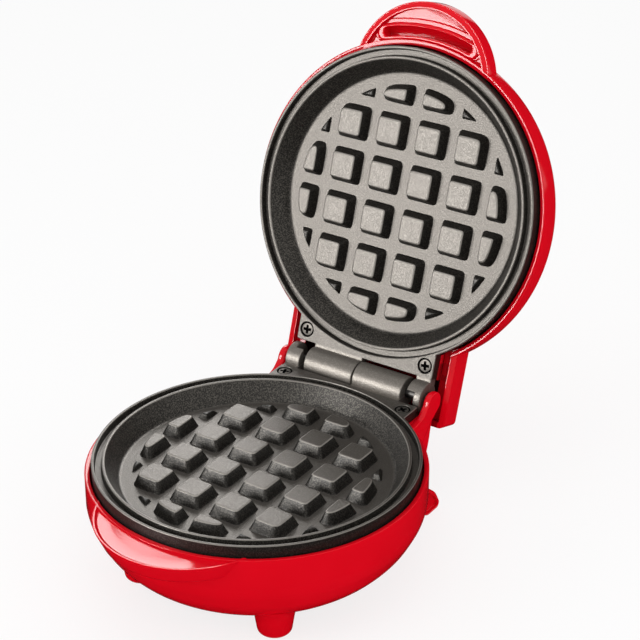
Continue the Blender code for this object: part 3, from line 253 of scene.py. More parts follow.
def lay(name, centre, across, along, material):
    """A flat piece of the stage: its corners are the centre with both halves added or taken off."""
    signs = np.array([(-1, -1), (1, -1), (1, 1), (-1, 1)])
    corners = np.array(centre) + signs @ np.array([across, along])
    mesh = bpy.data.meshes.new(name)
    mesh.from_pydata(corners.tolist(), [], [(0, 1, 2, 3)])
    mesh.materials.append(material)
    piece = bpy.data.objects.new(name, mesh)
    bpy.context.scene.collection.objects.link(piece)
    return piece


def make_floor():
    """White paper that glows where it is seen, but for the share that is really lit and shaded."""
    sheet = paper("floor_white", FLOOR_COLOUR)
    glow = sheet.out("ShaderNodeEmission", {}, {"Color": WHITE, "Strength": 1.0})
    shaded = Wire(sheet, sheet.tree.nodes["Principled BSDF"].outputs[0])
    share = seen_rays(sheet) * (1 - FLOOR_SHADE_SHARE)
    mixed = sheet.out("ShaderNodeMixShader", {}, {0: share, 1: shaded, 2: glow})
    sheet.feed(sheet.tree.nodes["Material Output"].inputs["Surface"], mixed)
    lay("floor", (0, 0, 0), (FLOOR_HALF, 0, 0), (0, FLOOR_HALF, 0), sheet.owner)


def make_world():
    """A white room: as bright as white to whatever sees it, a little dimmer as a light."""
    sheet = Sheet(bpy.data.worlds.new("white_room"))
    bpy.context.scene.world = sheet.owner
    seen = seen_rays(sheet)
    background = sheet.tree.nodes["Background"]
    background.inputs["Color"].default_value = WHITE
    sheet.feed(background.inputs["Strength"], seen * (1 - AMBIENT) + AMBIENT)


CARDS = (
    # name, centre, half of each side
    ("card_beneath", (0, 0, 0.001), (1.2, 0, 0), (0, 1.2, 0)),
    ("card_behind", (0.2, 1.15, 0.42), (0.4, 0, 0), (0, 0, 0.42)),
)


def make_card(name, centre, across, along):
    """A dark card that only reflections see."""
    card = lay(name, centre, across, along, paper(name, CARD_COLOUR).owner)
    card.visible_camera = False
    card.visible_diffuse = False
    card.visible_shadow = False
    card.visible_transmission = False


make_floor()
for card_row in CARDS:
    make_card(*card_row)
make_world()
print("floor and world made")

# %% Lamps
LAMPS = (
    # name, direction from the object, distance, width, height, radiance, and whether it only makes gloss
    ("gloss_front_left", (-0.51, -0.85, 0.16), 0.9, 0.34, 0.36, 34.0, True),
    ("gloss_back_left", (-0.42, 0.75, 0.50), 0.9, 0.56, 0.31, 11.8, True),
    ("soft_front_left", (-0.6, -0.75, 0.35), 0.9, 0.5, 0.5, 2.2, False),
    ("soft_above", (0.1, -0.25, 0.96), 1.0, 0.7, 0.7, 1.25, False),
    ("soft_right", (0.93, -0.30, 0.22), 1.0, 0.7, 0.7, 1.1, False),
)


def make_lamp(name, direction, distance, width, height, radiance, gloss):
    """A soft box seen by glossy or by diffuse rays. Its power is its radiance times its area times pi."""
    data = bpy.data.lights.new(name, "AREA")
    data.shape = "RECTANGLE"
    data.size = width
    data.size_y = height
    data.energy = radiance * width * height * math.pi
    lamp = bpy.data.objects.new(name, data)
    way = Vector(direction).normalized()
    lamp.location = target + way * distance
    lamp.rotation_euler = (-way).to_track_quat("-Z", "Y").to_euler()
    lamp.visible_diffuse = not gloss
    lamp.visible_glossy = gloss
    bpy.context.scene.collection.objects.link(lamp)
    print(name, round(data.energy, 1), "W")


for lamp_row in LAMPS:
    make_lamp(*lamp_row)

# %% [markdown]
# ## From arrays to closed solids
#
# Every new surface is a grid of points worked out in numpy: loops of points, each joined to the
# next by a row of quads, with the first and last loop filled. A turned piece, a moulded prism
# with soft edges and a waffle block are all such stacks of loops. Building them this way keeps
# each shape down to a formula, and Boolean unions then fuse them into one casting or moulding.


# %% Stacks of loops
def solid(loops, ring=False):
    """Quads from (loop k, point i) to (k + 1, i + 1). The end loops are filled, or joined as a ring."""
    loops = np.asarray(loops, float)
    count, steps = loops.shape[:2]
    row = np.arange(count if ring else count - 1)[:, None]
    point = np.arange(steps)[None, :]
    below = (row + 1) % count
    beside = (point + 1) % steps
    corners = (row * steps + point, row * steps + beside, below * steps + beside, below * steps + point)
    faces = np.stack(corners, -1).reshape(-1, 4).tolist()
    if not ring:
        faces.append(list(range(steps))[::-1])
        faces.append(list(range((count - 1) * steps, count * steps)))
    mesh = bpy.data.meshes.new("shape")
    mesh.from_pydata(loops.reshape(-1, 3).tolist(), [], faces)
    return facing_out(mesh)


def facing_out(mesh):
    """The mesh with its faces turned outwards: a closed mesh's signed volume is then positive."""
    shape = bmesh.new()
    shape.from_mesh(mesh)
    if shape.calc_volume(signed=True) < 0:
        bmesh.ops.reverse_faces(shape, faces=shape.faces)
    shape.to_mesh(mesh)
    shape.free()
    return mesh


def full_turn(steps):
    """Even angles, once round."""
    return np.arange(steps) * (math.tau / steps)


def heading(angle):
    """The unit vectors (cos a, sin a) of a row of angles."""
    return np.stack([np.cos(angle), np.sin(angle)], -1)


def turned(profile, steps, centre=(0.0, 0.0), ring=False):
    """Radius r and height z of each profile point carried round: x = r cos a, y = r sin a."""
    profile = np.asarray(profile, float)
    angle = full_turn(steps)
    radius, height = profile[:, :1], profile[:, 1:2]
    x = centre[0] + radius * np.cos(angle)
    y = centre[1] + radius * np.sin(angle)
    return solid(np.stack([x, y, height + 0 * angle], -1), ring)


# %% Rounded corners and smooth curves
MOST_OF_A_SIDE = 0.49
SAME_POINT = 1e-5


def rounded(corners, closed=True, steps=4):
    """Each corner C with a reach becomes (1-t)^2 A + 2t(1-t) C + t^2 B, A and B one reach along its sides."""
    rows = np.array(corners, float)
    place = rows[:, :2]
    back = np.roll(place, 1, 0) - place
    on = np.roll(place, -1, 0) - place
    back_length = np.linalg.norm(back, axis=1, keepdims=True)
    on_length = np.linalg.norm(on, axis=1, keepdims=True)
    reach = np.minimum(rows[:, 2:3], MOST_OF_A_SIDE * np.minimum(back_length, on_length))
    start = (place + back / back_length * reach)[:, None]
    end = (place + on / on_length * reach)[:, None]
    t = np.linspace(0, 1, steps + 1)[None, :, None]
    curve = (1 - t) ** 2 * start + 2 * t * (1 - t) * place[:, None] + t * t * end
    points = curve.reshape(-1, 2)
    if not closed:
        points = np.vstack([place[:1], curve[1:-1].reshape(-1, 2), place[-1:]])
    apart = np.linalg.norm(points - np.roll(points, 1, 0), axis=1) > SAME_POINT
    return points[apart]


def lathe(rows, steps, centre=(0.0, 0.0), curve=4):
    """Open rows of radius, height and the reach of the corner's rounding, turned."""
    return turned(rounded(rows, closed=False, steps=curve), steps, centre)


SPAN_STEPS = 6


def curve_through(points):
    """A smooth curve: each span is a cubic whose end slopes are half its neighbours' difference."""
    points = np.array(points, float)
    padded = np.vstack([2 * points[0] - points[1], points, 2 * points[-1] - points[-2]])
    a, b, c, d = (padded[i : len(padded) - 3 + i, None] for i in range(4))
    t = np.linspace(0, 1, SPAN_STEPS, endpoint=False)[None, :, None]
    spans = b + 0.5 * t * ((c - a) + t * ((2 * a - 5 * b + 4 * c - d) + t * (3 * b - a - 3 * c + d)))
    return np.vstack([spans.reshape(-1, 2), points[-1:]])


def drawn_in(outline, amount):
    """A closed outline moved inwards, each point along the mitre of its two sides."""
    side = np.roll(outline, -1, 0) - outline
    side = side / np.linalg.norm(side, axis=1, keepdims=True)
    area = (outline[:, 0] * np.roll(outline[:, 1], -1) - outline[:, 1] * np.roll(outline[:, 0], -1)).sum()
    inward = np.stack([-side[:, 1], side[:, 0]], -1) * np.sign(area)
    before = np.roll(inward, 1, 0)
    mitre = (before + inward) / (1 + (before * inward).sum(1, keepdims=True))
    return outline + mitre * amount


# %% Moulded prisms
SUPPORT = 0.12


def rim_steps(edge, steps):
    """A rounded rim as (inset, rise) rows: e(1 - sin a) inwards at e(1 - cos a) from the end."""
    turn = np.linspace(0, math.pi / 2, steps + 1)
    inset = np.concatenate([[edge + SUPPORT], edge * (1 - np.sin(turn))])
    return inset, np.concatenate([[0.0], edge * (1 - np.cos(turn))])


def prism(outline, low, high, along="Z", edge=0.4, steps=3, low_edge=None):
    """An outline carried from low to high, with rounded rims at both ends."""
    outline = np.asarray(outline, float)
    inset, rise = rim_steps(edge, steps)
    low_inset, low_rise = rim_steps(low_edge or edge, steps + (2 if low_edge else 0))
    insets = np.concatenate([low_inset, inset[::-1]])
    heights = np.concatenate([low + low_rise, (high - rise)[::-1]])
    loops = []
    for amount, height in zip(insets, heights):
        flat = drawn_in(outline, amount)
        level = np.full(len(flat), height)
        order = {"Z": (flat[:, 0], flat[:, 1], level), "X": (level, flat[:, 0], flat[:, 1])}
        order["Y"] = (flat[:, 0], level, flat[:, 1])
        loops.append(np.stack(order[along], -1))
    return solid(loops)


def block_of(low, high, corner=0.3, edge=0.3):
    """A box between two corners, with soft edges."""
    outline = ((low[0], low[1]), (high[0], low[1]), (high[0], high[1]), (low[0], high[1]))
    return prism(rounded([(x, y, corner) for x, y in outline]), low[2], high[2], edge=edge)


def sharp_box(low, high):
    """A box for cutting, with next to no rounding."""
    return block_of(low, high, 0.01, 0.01)


def drum(radius, low, high, steps=48, centre=(0.0, 0.0), edge=0.0):
    """A cylinder about Z, with an optional rounded rim at both ends."""
    if not edge:
        return turned([(radius, low), (radius, high)], steps, centre)
    inner = radius - 2 * edge
    rows = [(inner, low, 0), (radius, low, edge), (radius, high, edge), (inner, high, 0)]
    return lathe(rows, steps, centre)


def moved(mesh, x=0.0, y=0.0, z=0.0, turn=None):
    """The mesh turned by a matrix, then shifted."""
    matrix = Matrix.Translation((x, y, z))
    mesh.transform(matrix @ turn if turn else matrix)
    return mesh


# How far cutters reach past the pieces: across, along, up and down, and above the parting plane.
WIDE = 60
LONG = 99
TALL = 20
ABOVE = 3
ALONG_X = Matrix.Rotation(math.pi / 2, 4, "Y")
ALONG_Y = Matrix.Rotation(-math.pi / 2, 4, "X")


def mirrored(mesh):
    """A copy on the machine's other side."""
    other = mesh.copy()
    other.transform(Matrix.Scale(-1, 4, (1, 0, 0)))
    return facing_out(other)


# %% Fusing and putting in place
def fused(mesh, *steps):
    """The mesh after a row of (operation, mesh) Booleans."""
    collection = bpy.context.scene.collection.objects
    target_object = bpy.data.objects.new("target", mesh)
    collection.link(target_object)
    helpers = []
    for operation, other in steps:
        helper = bpy.data.objects.new("helper", other)
        collection.link(helper)
        helpers.append(helper)
        change = target_object.modifiers.new(operation, "BOOLEAN")
        change.operation = operation
        change.solver = "MANIFOLD"
        change.object = helper
    bpy.context.view_layer.update()
    evaluated = target_object.evaluated_get(bpy.context.evaluated_depsgraph_get())
    result = bpy.data.meshes.new_from_object(evaluated)
    for helper in (target_object, *helpers):
        bpy.data.objects.remove(helper)
    return result


def add(mesh):
    return ("UNION", mesh)


def cut(mesh):
    return ("DIFFERENCE", mesh)


def keep(mesh):
    return ("INTERSECT", mesh)


SHARP = math.radians(34)
LEVEL_NORMAL = 0.99995


def vectors(items, name):
    """One vector property of all of a mesh's items, as rows of x, y and z."""
    values = np.zeros(len(items) * 3)
    items.foreach_get(name, values)
    return values.reshape(-1, 3)


def level_crease(mesh):
    """The edges where a level face meets one that isn't: sharp, they keep a broad flat face evenly shaded."""
    flat = np.abs(vectors(mesh.polygons, "normal")[:, 2]) > LEVEL_NORMAL
    sizes = np.zeros(len(mesh.polygons), int)
    mesh.polygons.foreach_get("loop_total", sizes)
    edge = np.zeros(len(mesh.loops), int)
    mesh.loops.foreach_get("edge_index", edge)
    flat_sides = np.bincount(edge, np.repeat(flat, sizes), len(mesh.edges))
    return flat_sides == 1


def put(name, mesh, material, body, node=None, level=False):
    """A finished piece: its millimetres go to the body's place in metres, and it stands for its node."""
    crease = level_crease(mesh) if level else None
    mesh.transform(PLACES[body] @ Matrix.Scale(MM, 4))
    mesh.materials.clear()
    mesh.materials.append(material)
    mesh.shade_smooth()
    mesh.set_sharp_from_angle(angle=SHARP)
    if level:
        sharp = np.zeros(len(mesh.edges), bool)
        edges = mesh.attributes["sharp_edge"].data
        edges.foreach_get("value", sharp)
        edges.foreach_set("value", sharp | crease)
    piece = bpy.data.objects.new(name, mesh)
    bpy.context.scene.collection.objects.link(piece)
    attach(piece, body)
    if node:
        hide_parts(node)
    mesh.calc_loop_triangles()
    low, high = np.array(piece.bound_box).min(0) / MM, np.array(piece.bound_box).max(0) / MM
    print(f"{name}: {len(mesh.loop_triangles)} triangles, {(high - low).round(1)} mm")
    return piece


# %% [markdown]
# ## Red plastic
#
# The shells are moulded in a glossy red plastic. A moulding is never quite flat: its reflections
# waver a little, and its colour is even. A low specular level keeps the red deep beside white
# surroundings, and the gloss comes from its low roughness. A painted shade darkens the hollow
# between the cheeks, and another painted shade darkens the lid beside its flange. These masks are drawn in
# the closed machine's own coordinates, so that they lie alike on both halves and stay put when the lid moves.


# %% The closed machine's coordinates in a shader
def own_place(sheet, body):
    """A piece's point, brought back to where it was drawn in the closed machine, in metres."""
    back = PLACES[body].inverted()
    place = sheet.out("ShaderNodeTexCoord", {}, {}, 3)
    home = {"Location": back.to_translation(), "Rotation": back.to_euler()}
    return sheet.out("ShaderNodeMapping", {}, {"Vector": place, **home})


def axes_of(sheet, vector):
    """The three numbers of a vector, each as a wire."""
    split = sheet.node("ShaderNodeSeparateXYZ", {}, {0: vector})
    return [Wire(sheet, output) for output in split.outputs]


# %% Red plastic
WAVER_SCALE = 45.0
PORE_SCALE = 900.0
RED_DEEP = (0.63, 0.0012, 0.0080, 1)
RED_LIGHT = (0.71, 0.0022, 0.0115, 1)
RED_GLOSS = 0.09
RED_SPECULAR = 0.18
RED_BUMP = 0.12
PORE_GLOSS = 0.03
PORE_BUMP = 0.02
# Painted shade: nearly black, and a little rougher, in the hollow between the cheeks; a dark red on the lid
# beside its flange.
HOLLOW_SHADE = (0.006, 0.005, 0.005, 1)
HOLLOW_SHADE_SHARE = 0.94
HOLLOW_SHADE_ROUGHNESS = 0.4
HOLLOW_SHADE_SIDE = (31.0, 31.3)
HOLLOW_SHADE_FRONT = (50.0, 51.0)
HOLLOW_SHADE_BACK = (78.1, 78.6)
HOLLOW_SHADE_FLOOR = {"base": (-7.2, -7.0), "lid": (-16.6, -16.4)}
SHADE = (0.05, 0.0006, 0.0010, 1)
SHADE_SHARE = {"base": 0.0, "lid": 0.6}
SHADE_SIDE = (31.3, 34.9, 0.1)
SHADE_FRONT = (55.0, 56.0)
SHADE_FLOOR = (-7.6, -7.4)


def metres(sizes):
    """Millimetres as a shader's metres."""
    return [size * MM for size in sizes]


def red_plastic(body):
    """A noise mixes two reds and bends the gloss. Boxes with soft sides mask the painted shade in the hollow
    and beside the flange.
    """
    sheet = new_sheet(f"red_plastic_{body}")
    own = own_place(sheet, body)
    x, y, z = axes_of(sheet, own)
    waver = sheet.noise(own, WAVER_SCALE, 1.0)
    pores = sheet.noise(own, PORE_SCALE, 2.0)
    side = sheet.math("ABSOLUTE", x, 0.0)
    # Painted shade in the hollow between the cheeks, and beside the lid's flange.
    hollow_shade = (1 - side.above(*metres(HOLLOW_SHADE_SIDE))) * y.above(*metres(HOLLOW_SHADE_FRONT))
    hollow_shade = hollow_shade * (1 - y.above(*metres(HOLLOW_SHADE_BACK))) * z.above(*metres(HOLLOW_SHADE_FLOOR[body]))
    shade = side.within(*metres(SHADE_SIDE)) * y.above(*metres(SHADE_FRONT)) * z.above(*metres(SHADE_FLOOR))
    red = sheet.mix(shade * SHADE_SHARE[body], sheet.mix(waver, RED_DEEP, RED_LIGHT), SHADE)
    return sheet.dress(
        {
            "Base Color": sheet.mix(hollow_shade * HOLLOW_SHADE_SHARE, red, HOLLOW_SHADE),
            "Roughness": pores * PORE_GLOSS + RED_GLOSS + hollow_shade * HOLLOW_SHADE_ROUGHNESS,
            "Normal": sheet.bump(waver + pores * PORE_BUMP, RED_BUMP, 0.6 * MM),
            "Specular IOR Level": RED_SPECULAR,
        }
    )


RED = {body: red_plastic(body) for body in PLACES}

# %% [markdown]
# ## Non-stick coating
#
# The cast plates wear a dark, warm grey coating with a fine sparkle. It looks nearly black where
# it turns away from the lamps and light grey where it mirrors them, so it is partly metallic with
# a broad gloss. On top of that, light and shade are painted into its colour: level faces and the
# hinge side get lighter tones than steep ones, and the blocks' sides and the outer skirt darker
# ones. A face's own normal against the casting's upright tells level from steep, so the painted
# light stays with the plate when the lid moves. The grain is a noise of about half a millimetre.
# A lighter band along the tops of the blocks and rims is a painted highlight. The heights are the
# casting's own, so a Mapping node first brings the lid's plate back to the closed place.

# %% Sizes of the casting
LIP_TOP = -0.3
FLOOR_TOP = -7.87
BLOCK_HEIGHT = 4.4


# %% Coating
GRAIN_SCALE = 1900.0
PATCH_SCALE = 120.0
SPARK = (0.42, 0.66)
LEVEL_COSINE = (0.86, 0.985)
HINGE_SIDE = (61.2, 62.0)
BLOCKS_END = (46.2, 46.8)
SKIRT_START = (60.0, 60.3)
BLOCK_TOP = FLOOR_TOP + BLOCK_HEIGHT
# Painted highlights: light bands along the tops of the blocks and the rims.
BLOCK_HIGHLIGHT = (BLOCK_TOP - 0.3, BLOCK_TOP - 0.05, 0.06)
BLOCK_SIDE = (FLOOR_TOP + 0.5, BLOCK_TOP - 0.25, 0.06)
RIM_HIGHLIGHT = (LIP_TOP - 0.3, LIP_TOP - 0.06, 0.06)
BLOCK_HIGHLIGHT_SHARE = 0.85
RIM_HIGHLIGHT_SHARE = 0.7
HINGE_SHARE = 0.7
LEVEL_SPARK = 0.24
STEEP_SPARK = 0.75
BLOCK_SPARK_LOSS = 0.37
SKIRT_SPARK_LOSS = 0.45
COATING_ROUGHNESS = 0.425
COATING_METALLIC = 0.5
COATING_SPECULAR = 0.35
# Tones of painted light and shade: lighter for level faces and the hinge side, darker for the blocks' sides
# and the skirt, lightest for the painted highlight.
TONES = {
    "wall": (0.0175, 0.0158, 0.0136, 1),
    "block side": (0.0105, 0.0092, 0.0076, 1),
    "skirt": (0.012, 0.0110, 0.0096, 1),
    "steep spark": (0.108, 0.098, 0.084, 1),
    "level": (0.067, 0.0598, 0.0520, 1),
    "level patch": (0.072, 0.0643, 0.0557, 1),
    "level spark": (0.155, 0.141, 0.124, 1),
    "hinge": (0.160, 0.144, 0.1255, 1),
    "hinge spark": (0.30, 0.272, 0.238, 1),
    "line": (0.27, 0.25, 0.225, 1),
}


def level_mask(sheet, body):
    """How level a face is: the dot product of its normal with the casting's upright, past two cosines."""
    normal = sheet.out("ShaderNodeTexCoord", {}, {}, 1)
    upright = PLACES[body].to_3x3() @ Vector((0, 0, 1))
    facing = sheet.out("ShaderNodeVectorMath", {"operation": "DOT_PRODUCT"}, {0: normal, 1: upright}, 1)
    return facing.above(*LEVEL_COSINE)


def plate_coating(name, body):
    """Painted light on level faces, painted shade on steep walls, and a painted highlight along each top
    edge.
    """
    sheet = new_sheet(name)
    own = own_place(sheet, body)
    x, y, height = axes_of(sheet, own)
    grain = sheet.noise(own, GRAIN_SCALE, 2.0, 0.65)
    patches = sheet.noise(own, PATCH_SCALE, 2.0)
    spark = grain.above(*SPARK)

    radius = sheet.math("POWER", x * x + y * y, 0.5)
    # The hinge side counts as level and gets still lighter tones: painted light.
    behind = y.above(*metres(HINGE_SIDE))
    blocks = 1 - radius.above(*metres(BLOCKS_END))
    skirt = radius.above(*metres(SKIRT_START))
    block_side = height.within(*metres(BLOCK_SIDE)) * blocks
    # Level faces get the lighter tones, painted light; the blocks' sides are kept out of them, painted shade.
    level = sheet.math("MAXIMUM", level_mask(sheet, body), behind) * (1 - block_side)
    # A lighter band along the tops of the blocks and rims: a painted highlight.
    line = height.within(*metres(BLOCK_HIGHLIGHT)) * blocks * BLOCK_HIGHLIGHT_SHARE
    line = line + height.within(*metres(RIM_HIGHLIGHT)) * RIM_HIGHLIGHT_SHARE

    # Darker tones on the blocks' sides and the skirt: painted shade.
    wall = sheet.mix(skirt, sheet.mix(blocks, TONES["wall"], TONES["block side"]), TONES["skirt"])
    steep_spark = STEEP_SPARK - blocks * BLOCK_SPARK_LOSS - skirt * SKIRT_SPARK_LOSS
    steep = sheet.mix(spark * steep_spark, wall, TONES["steep spark"])
    plain = sheet.mix(patches, TONES["level"], TONES["level patch"])
    plain = sheet.mix(behind * HINGE_SHARE, plain, TONES["hinge"])
    glint = sheet.mix(behind, TONES["level spark"], TONES["hinge spark"])
    face = sheet.mix(level, steep, sheet.mix(spark * LEVEL_SPARK, plain, glint))
    return sheet.dress(
        {
            "Base Color": sheet.mix(line, face, TONES["line"]),
            "Roughness": COATING_ROUGHNESS - spark * 0.06 + patches * 0.02,
            "Normal": sheet.bump(grain, 0.6, 0.16 * MM),
            "Metallic": COATING_METALLIC,
            "Specular IOR Level": COATING_SPECULAR,
        }
    )


COATING = {body: plate_coating(f"coating_{body}", body) for body in PLACES}
print("red plastic and coatings made")

# %% [markdown]
# ## Waffle plates
#
# One aluminium casting serves as both cooking plates. Its thirty-two blocks are square frustums
# with rounded corners, soft top edges and small fillets at their feet, and the round edge of the
# pattern trims the outer ones. A modelled block trimmed by a Boolean would lose its soft edges
# there. So each block is drawn from one slack field instead: how far a point lies inside the
# nearest of the five walls. All walls have one slope, so a block's outline at any height is a
# level line of that field, and the bevel and the fillet are only a change of level.

# %% Waffle grid
GRID_PITCH = 17.5
GRID_ROWS = 6
GRID_FORWARD = 0.6
BLOCK_BASE_HALF = 6.65
BLOCK_TOP_HALF = 4.85
GRID_TOP_RADIUS = 44.0
BLOCK_BEVEL = 0.75
BLOCK_FILLET = 0.4
BLOCK_CORNER_POWER = 10
TRIMMED_CORNER_POWER = 6
TRIMMED_SLACK = 3.2
BLOCK_STEPS = 112
CORE_STEPS = 134
BEND_STEPS = 6
SUNK_FOOT = 0.03
TOP_INSET = 0.15
LEAST_TOP = 0.1
BLOCK_SLOPE = (BLOCK_BASE_HALF - BLOCK_TOP_HALF) / BLOCK_HEIGHT


def block_slack(points, place):
    """How far each point lies inside the nearest wall of a block, at the height of the block's top."""
    reach = BLOCK_TOP_HALF - np.abs(points - place).max(-1)
    return np.minimum(reach, GRID_TOP_RADIUS - np.linalg.norm(points, axis=-1))


def block_core(place):
    """The point of a block with the most slack, found on a fine grid, and its slack."""
    line = np.linspace(-BLOCK_BASE_HALF, BLOCK_BASE_HALF, CORE_STEPS)
    points = np.stack(np.meshgrid(line, line, indexing="ij"), -1) + place
    slack = block_slack(points, place)
    best = np.unravel_index(slack.argmax(), slack.shape)
    return points[best], slack[best]


def block_levels(slack):
    """Levels and heights: the floor's fillet, f(1 - cos a) high, then the wall, the bevel and the top.

    A block with too little slack for its bevel ends lower, where its walls still leave room for it.
    """
    top = BLOCK_HEIGHT
    if slack < BLOCK_BEVEL + LEAST_TOP:
        top = BLOCK_HEIGHT + (slack - BLOCK_BEVEL - LEAST_TOP) / BLOCK_SLOPE
    lean = math.atan2(BLOCK_SLOPE, 1)
    rise = (math.pi / 2 - lean) * np.linspace(0, 1, BEND_STEPS)
    foot_out = BLOCK_FILLET * (math.cos(lean) - np.sin(rise))
    foot_up = BLOCK_FILLET * (1 - np.cos(rise))
    wall = np.linspace(foot_up[-1], top - BLOCK_BEVEL, 5)[1:-1]
    over = np.linspace(lean, math.pi / 2, BEND_STEPS)
    bevel_in = BLOCK_BEVEL * (math.cos(lean) - np.cos(over))
    bevel_up = BLOCK_BEVEL * (np.sin(over) - 1)
    base = -BLOCK_SLOPE * BLOCK_HEIGHT
    level = [base - foot_out + BLOCK_SLOPE * foot_up[-1], base + BLOCK_SLOPE * wall]
    level.append(BLOCK_SLOPE * (top - BLOCK_HEIGHT + bevel_up[0]) + bevel_in)
    height = np.concatenate([foot_up - SUNK_FOOT, wall, top + bevel_up])
    levels = np.concatenate(level)
    return np.append(levels, levels[-1] + TOP_INSET), np.append(height, height[-1])


def waffle_block(place):
    """Loops about the core: in each direction the walls' distances d combine as (sum of d^-p)^(-1/p)."""
    core, slack = block_core(place)
    levels, heights = block_levels(slack)
    way = heading(full_turn(BLOCK_STEPS))
    level = levels[:, None]
    power = BLOCK_CORNER_POWER if slack > TRIMMED_SLACK else TRIMMED_CORNER_POWER
    nearness = 0
    for axis in (0, 1):
        for sign in (-1, 1):
            room = BLOCK_TOP_HALF - level - sign * (core - place)[axis]
            nearness = nearness + (np.maximum(sign * way[:, axis], 1e-6) / room) ** power
    along = way @ core
    radius = GRID_TOP_RADIUS - level
    distance = -along + np.sqrt(along**2 + radius**2 - core @ core)
    nearness = nearness + distance**-power
    reach = nearness ** (-1 / power)
    x = core[0] + reach * way[:, 0]
    y = core[1] + reach * way[:, 1]
    z = FLOOR_TOP + heights[:, None] + 0 * reach
    return solid(np.stack([x, y, z], -1))


def waffle_blocks():
    """All blocks but the four far corners."""
    reach = (GRID_ROWS - 1) / 2
    blocks = []
    for row in range(GRID_ROWS):
        for column in range(GRID_ROWS):
            across, back = column - reach, row - reach
            if abs(across) < reach or abs(back) < reach:
                place = np.array([across * GRID_PITCH, back * GRID_PITCH - GRID_FORWARD])
                blocks.append(waffle_block(place))
    print(len(blocks), "blocks")
    return blocks


# %% [markdown]
# The rest of the casting is turned: the cavity's sloping wall, the lip, the moat, the outer ring
# and the skirt, all with small rounded corners that catch the light as thin bright rings. The
# hinge flange, the barrel on one side and the ear on the other are fused on, and the bores and
# the screws' seats are cut last.

# %% Turned body of the casting
LIP_INNER = 55.55
LIP_OUTER = 56.5
MOAT_DEPTH = 2.9
RING_INNER = 59.37
RING_OUTER = 60.39
FLOOR_RADIUS = 50.76
SKIRT_BOTTOM = -7.0
SKIRT_INNER = 56.19
PLATE_UNDER = -10.27
CORE_RADIUS = SKIRT_INNER - 2.7
MOAT_SLOPE = 0.17
CAP_RADIUS = 30
FINE_STEPS = 256


def plate_body():
    """The cavity, the lip, the moat, the ring and the skirt as one row of corners, turned."""
    moat = LIP_TOP - MOAT_DEPTH
    corners = [
        (CAP_RADIUS, FLOOR_TOP, 0),
        (FLOOR_RADIUS, FLOOR_TOP, 1.1),
        (LIP_INNER, LIP_TOP, 0.35),
        (LIP_OUTER, LIP_TOP, 0.3),
        (LIP_OUTER + MOAT_SLOPE, moat, 0.4),
        (RING_INNER - MOAT_SLOPE, moat, 0.4),
        (RING_INNER, LIP_TOP, 0.3),
        (RING_OUTER, LIP_TOP, 0.35),
        (RING_OUTER, SKIRT_BOTTOM, 0.4),
        (SKIRT_INNER, SKIRT_BOTTOM, 0.3),
        (CORE_RADIUS, PLATE_UNDER, 0.8),
        (CAP_RADIUS, PLATE_UNDER, 0),
    ]
    return lathe(corners, FINE_STEPS)


# %% Hinge side of the casting
PAST = 2
FLANGE_HALF = 31.15
FLANGE_FRONT = 40
FLANGE_BACK = 61.6
FLANGE_CORNER = 1.0
FLANGE_UNDER = LIP_TOP - 3.9
BARREL_RADIUS = 6.1
BARREL_FROM = 0.25
BARREL_TO = 22.3
EAR_OUTER = 31.0
EAR_INNER = 28.0
EAR_BLOCK_INNER = 24.6
EAR_OVERLAP = 0.6
PIN_BORE = 2.4
PLATE_SCREW = (27.2, 57.0)
SEAT_RADIUS = 3.15
SEAT_DEPTH = 2.2
SCREW_HOLE = 1.6


def screw_place(side):
    """Where a flange screw stands, on the left (-1) or the right (1)."""
    return side * PLATE_SCREW[0], PLATE_SCREW[1]


def hinge_drum(radius, low, high, edge=0.0):
    """A round length about the pin, along X."""
    return moved(drum(radius, low, high, 72, edge=edge), y=HINGE_BACK, turn=ALONG_X)


def hinge_steps():
    """What the hinge side adds to the turned body and cuts from it."""
    flange = [
        (-FLANGE_HALF, FLANGE_FRONT, 0),
        (FLANGE_HALF, FLANGE_FRONT, 0),
        (FLANGE_HALF, FLANGE_BACK, FLANGE_CORNER),
        (-FLANGE_HALF, FLANGE_BACK, FLANGE_CORNER),
    ]
    web_from = FLANGE_BACK - PAST
    web_to = HINGE_BACK - BARREL_RADIUS + PAST
    ring_middle = (RING_INNER + RING_OUTER) / 2
    shelf = fused(
        prism(rounded(flange), FLANGE_UNDER, LIP_TOP, edge=0.3),
        cut(drum(ring_middle, FLANGE_UNDER - PAST, PAST, FINE_STEPS)),
    )
    ear_block = fused(
        hinge_drum(BARREL_RADIUS, -EAR_INNER - EAR_OVERLAP, -EAR_BLOCK_INNER, 0.3),
        keep(block_of((-WIDE, 0, -TALL), (0, HINGE_BACK - PIN_BORE, TALL), 0.01, 0.2)),
    )
    steps = [add(shelf)]
    spans = ((BARREL_FROM, BARREL_TO, BARREL_TO), (-EAR_OUTER, -EAR_BLOCK_INNER, -EAR_INNER))
    for left, web_right, right in spans:
        steps.append(add(block_of((left, web_from, FLANGE_UNDER), (web_right, web_to, LIP_TOP))))
        steps.append(add(hinge_drum(BARREL_RADIUS, left, right, 0.45)))
    bore = hinge_drum(PIN_BORE, -EAR_OUTER - PAST, EAR_OUTER + PAST)
    return [*steps, add(ear_block), cut(bore)]


# %% Undersides and screw seats
CENTRE_BOSS = 4.0
FRONT_BOSS = 3.4
FRONT_BOSS_DEPTH = 5
FRONT_HOLE_DEPTH = 7
BOSS_OVERLAP = 0.6
BOSS_HOLE = 1.5
BOSS_HOLE_OVERLAP = 1.2
REFLECTOR_TOP = -17.27
FRONT_SCREW = (0.0, -43.5)


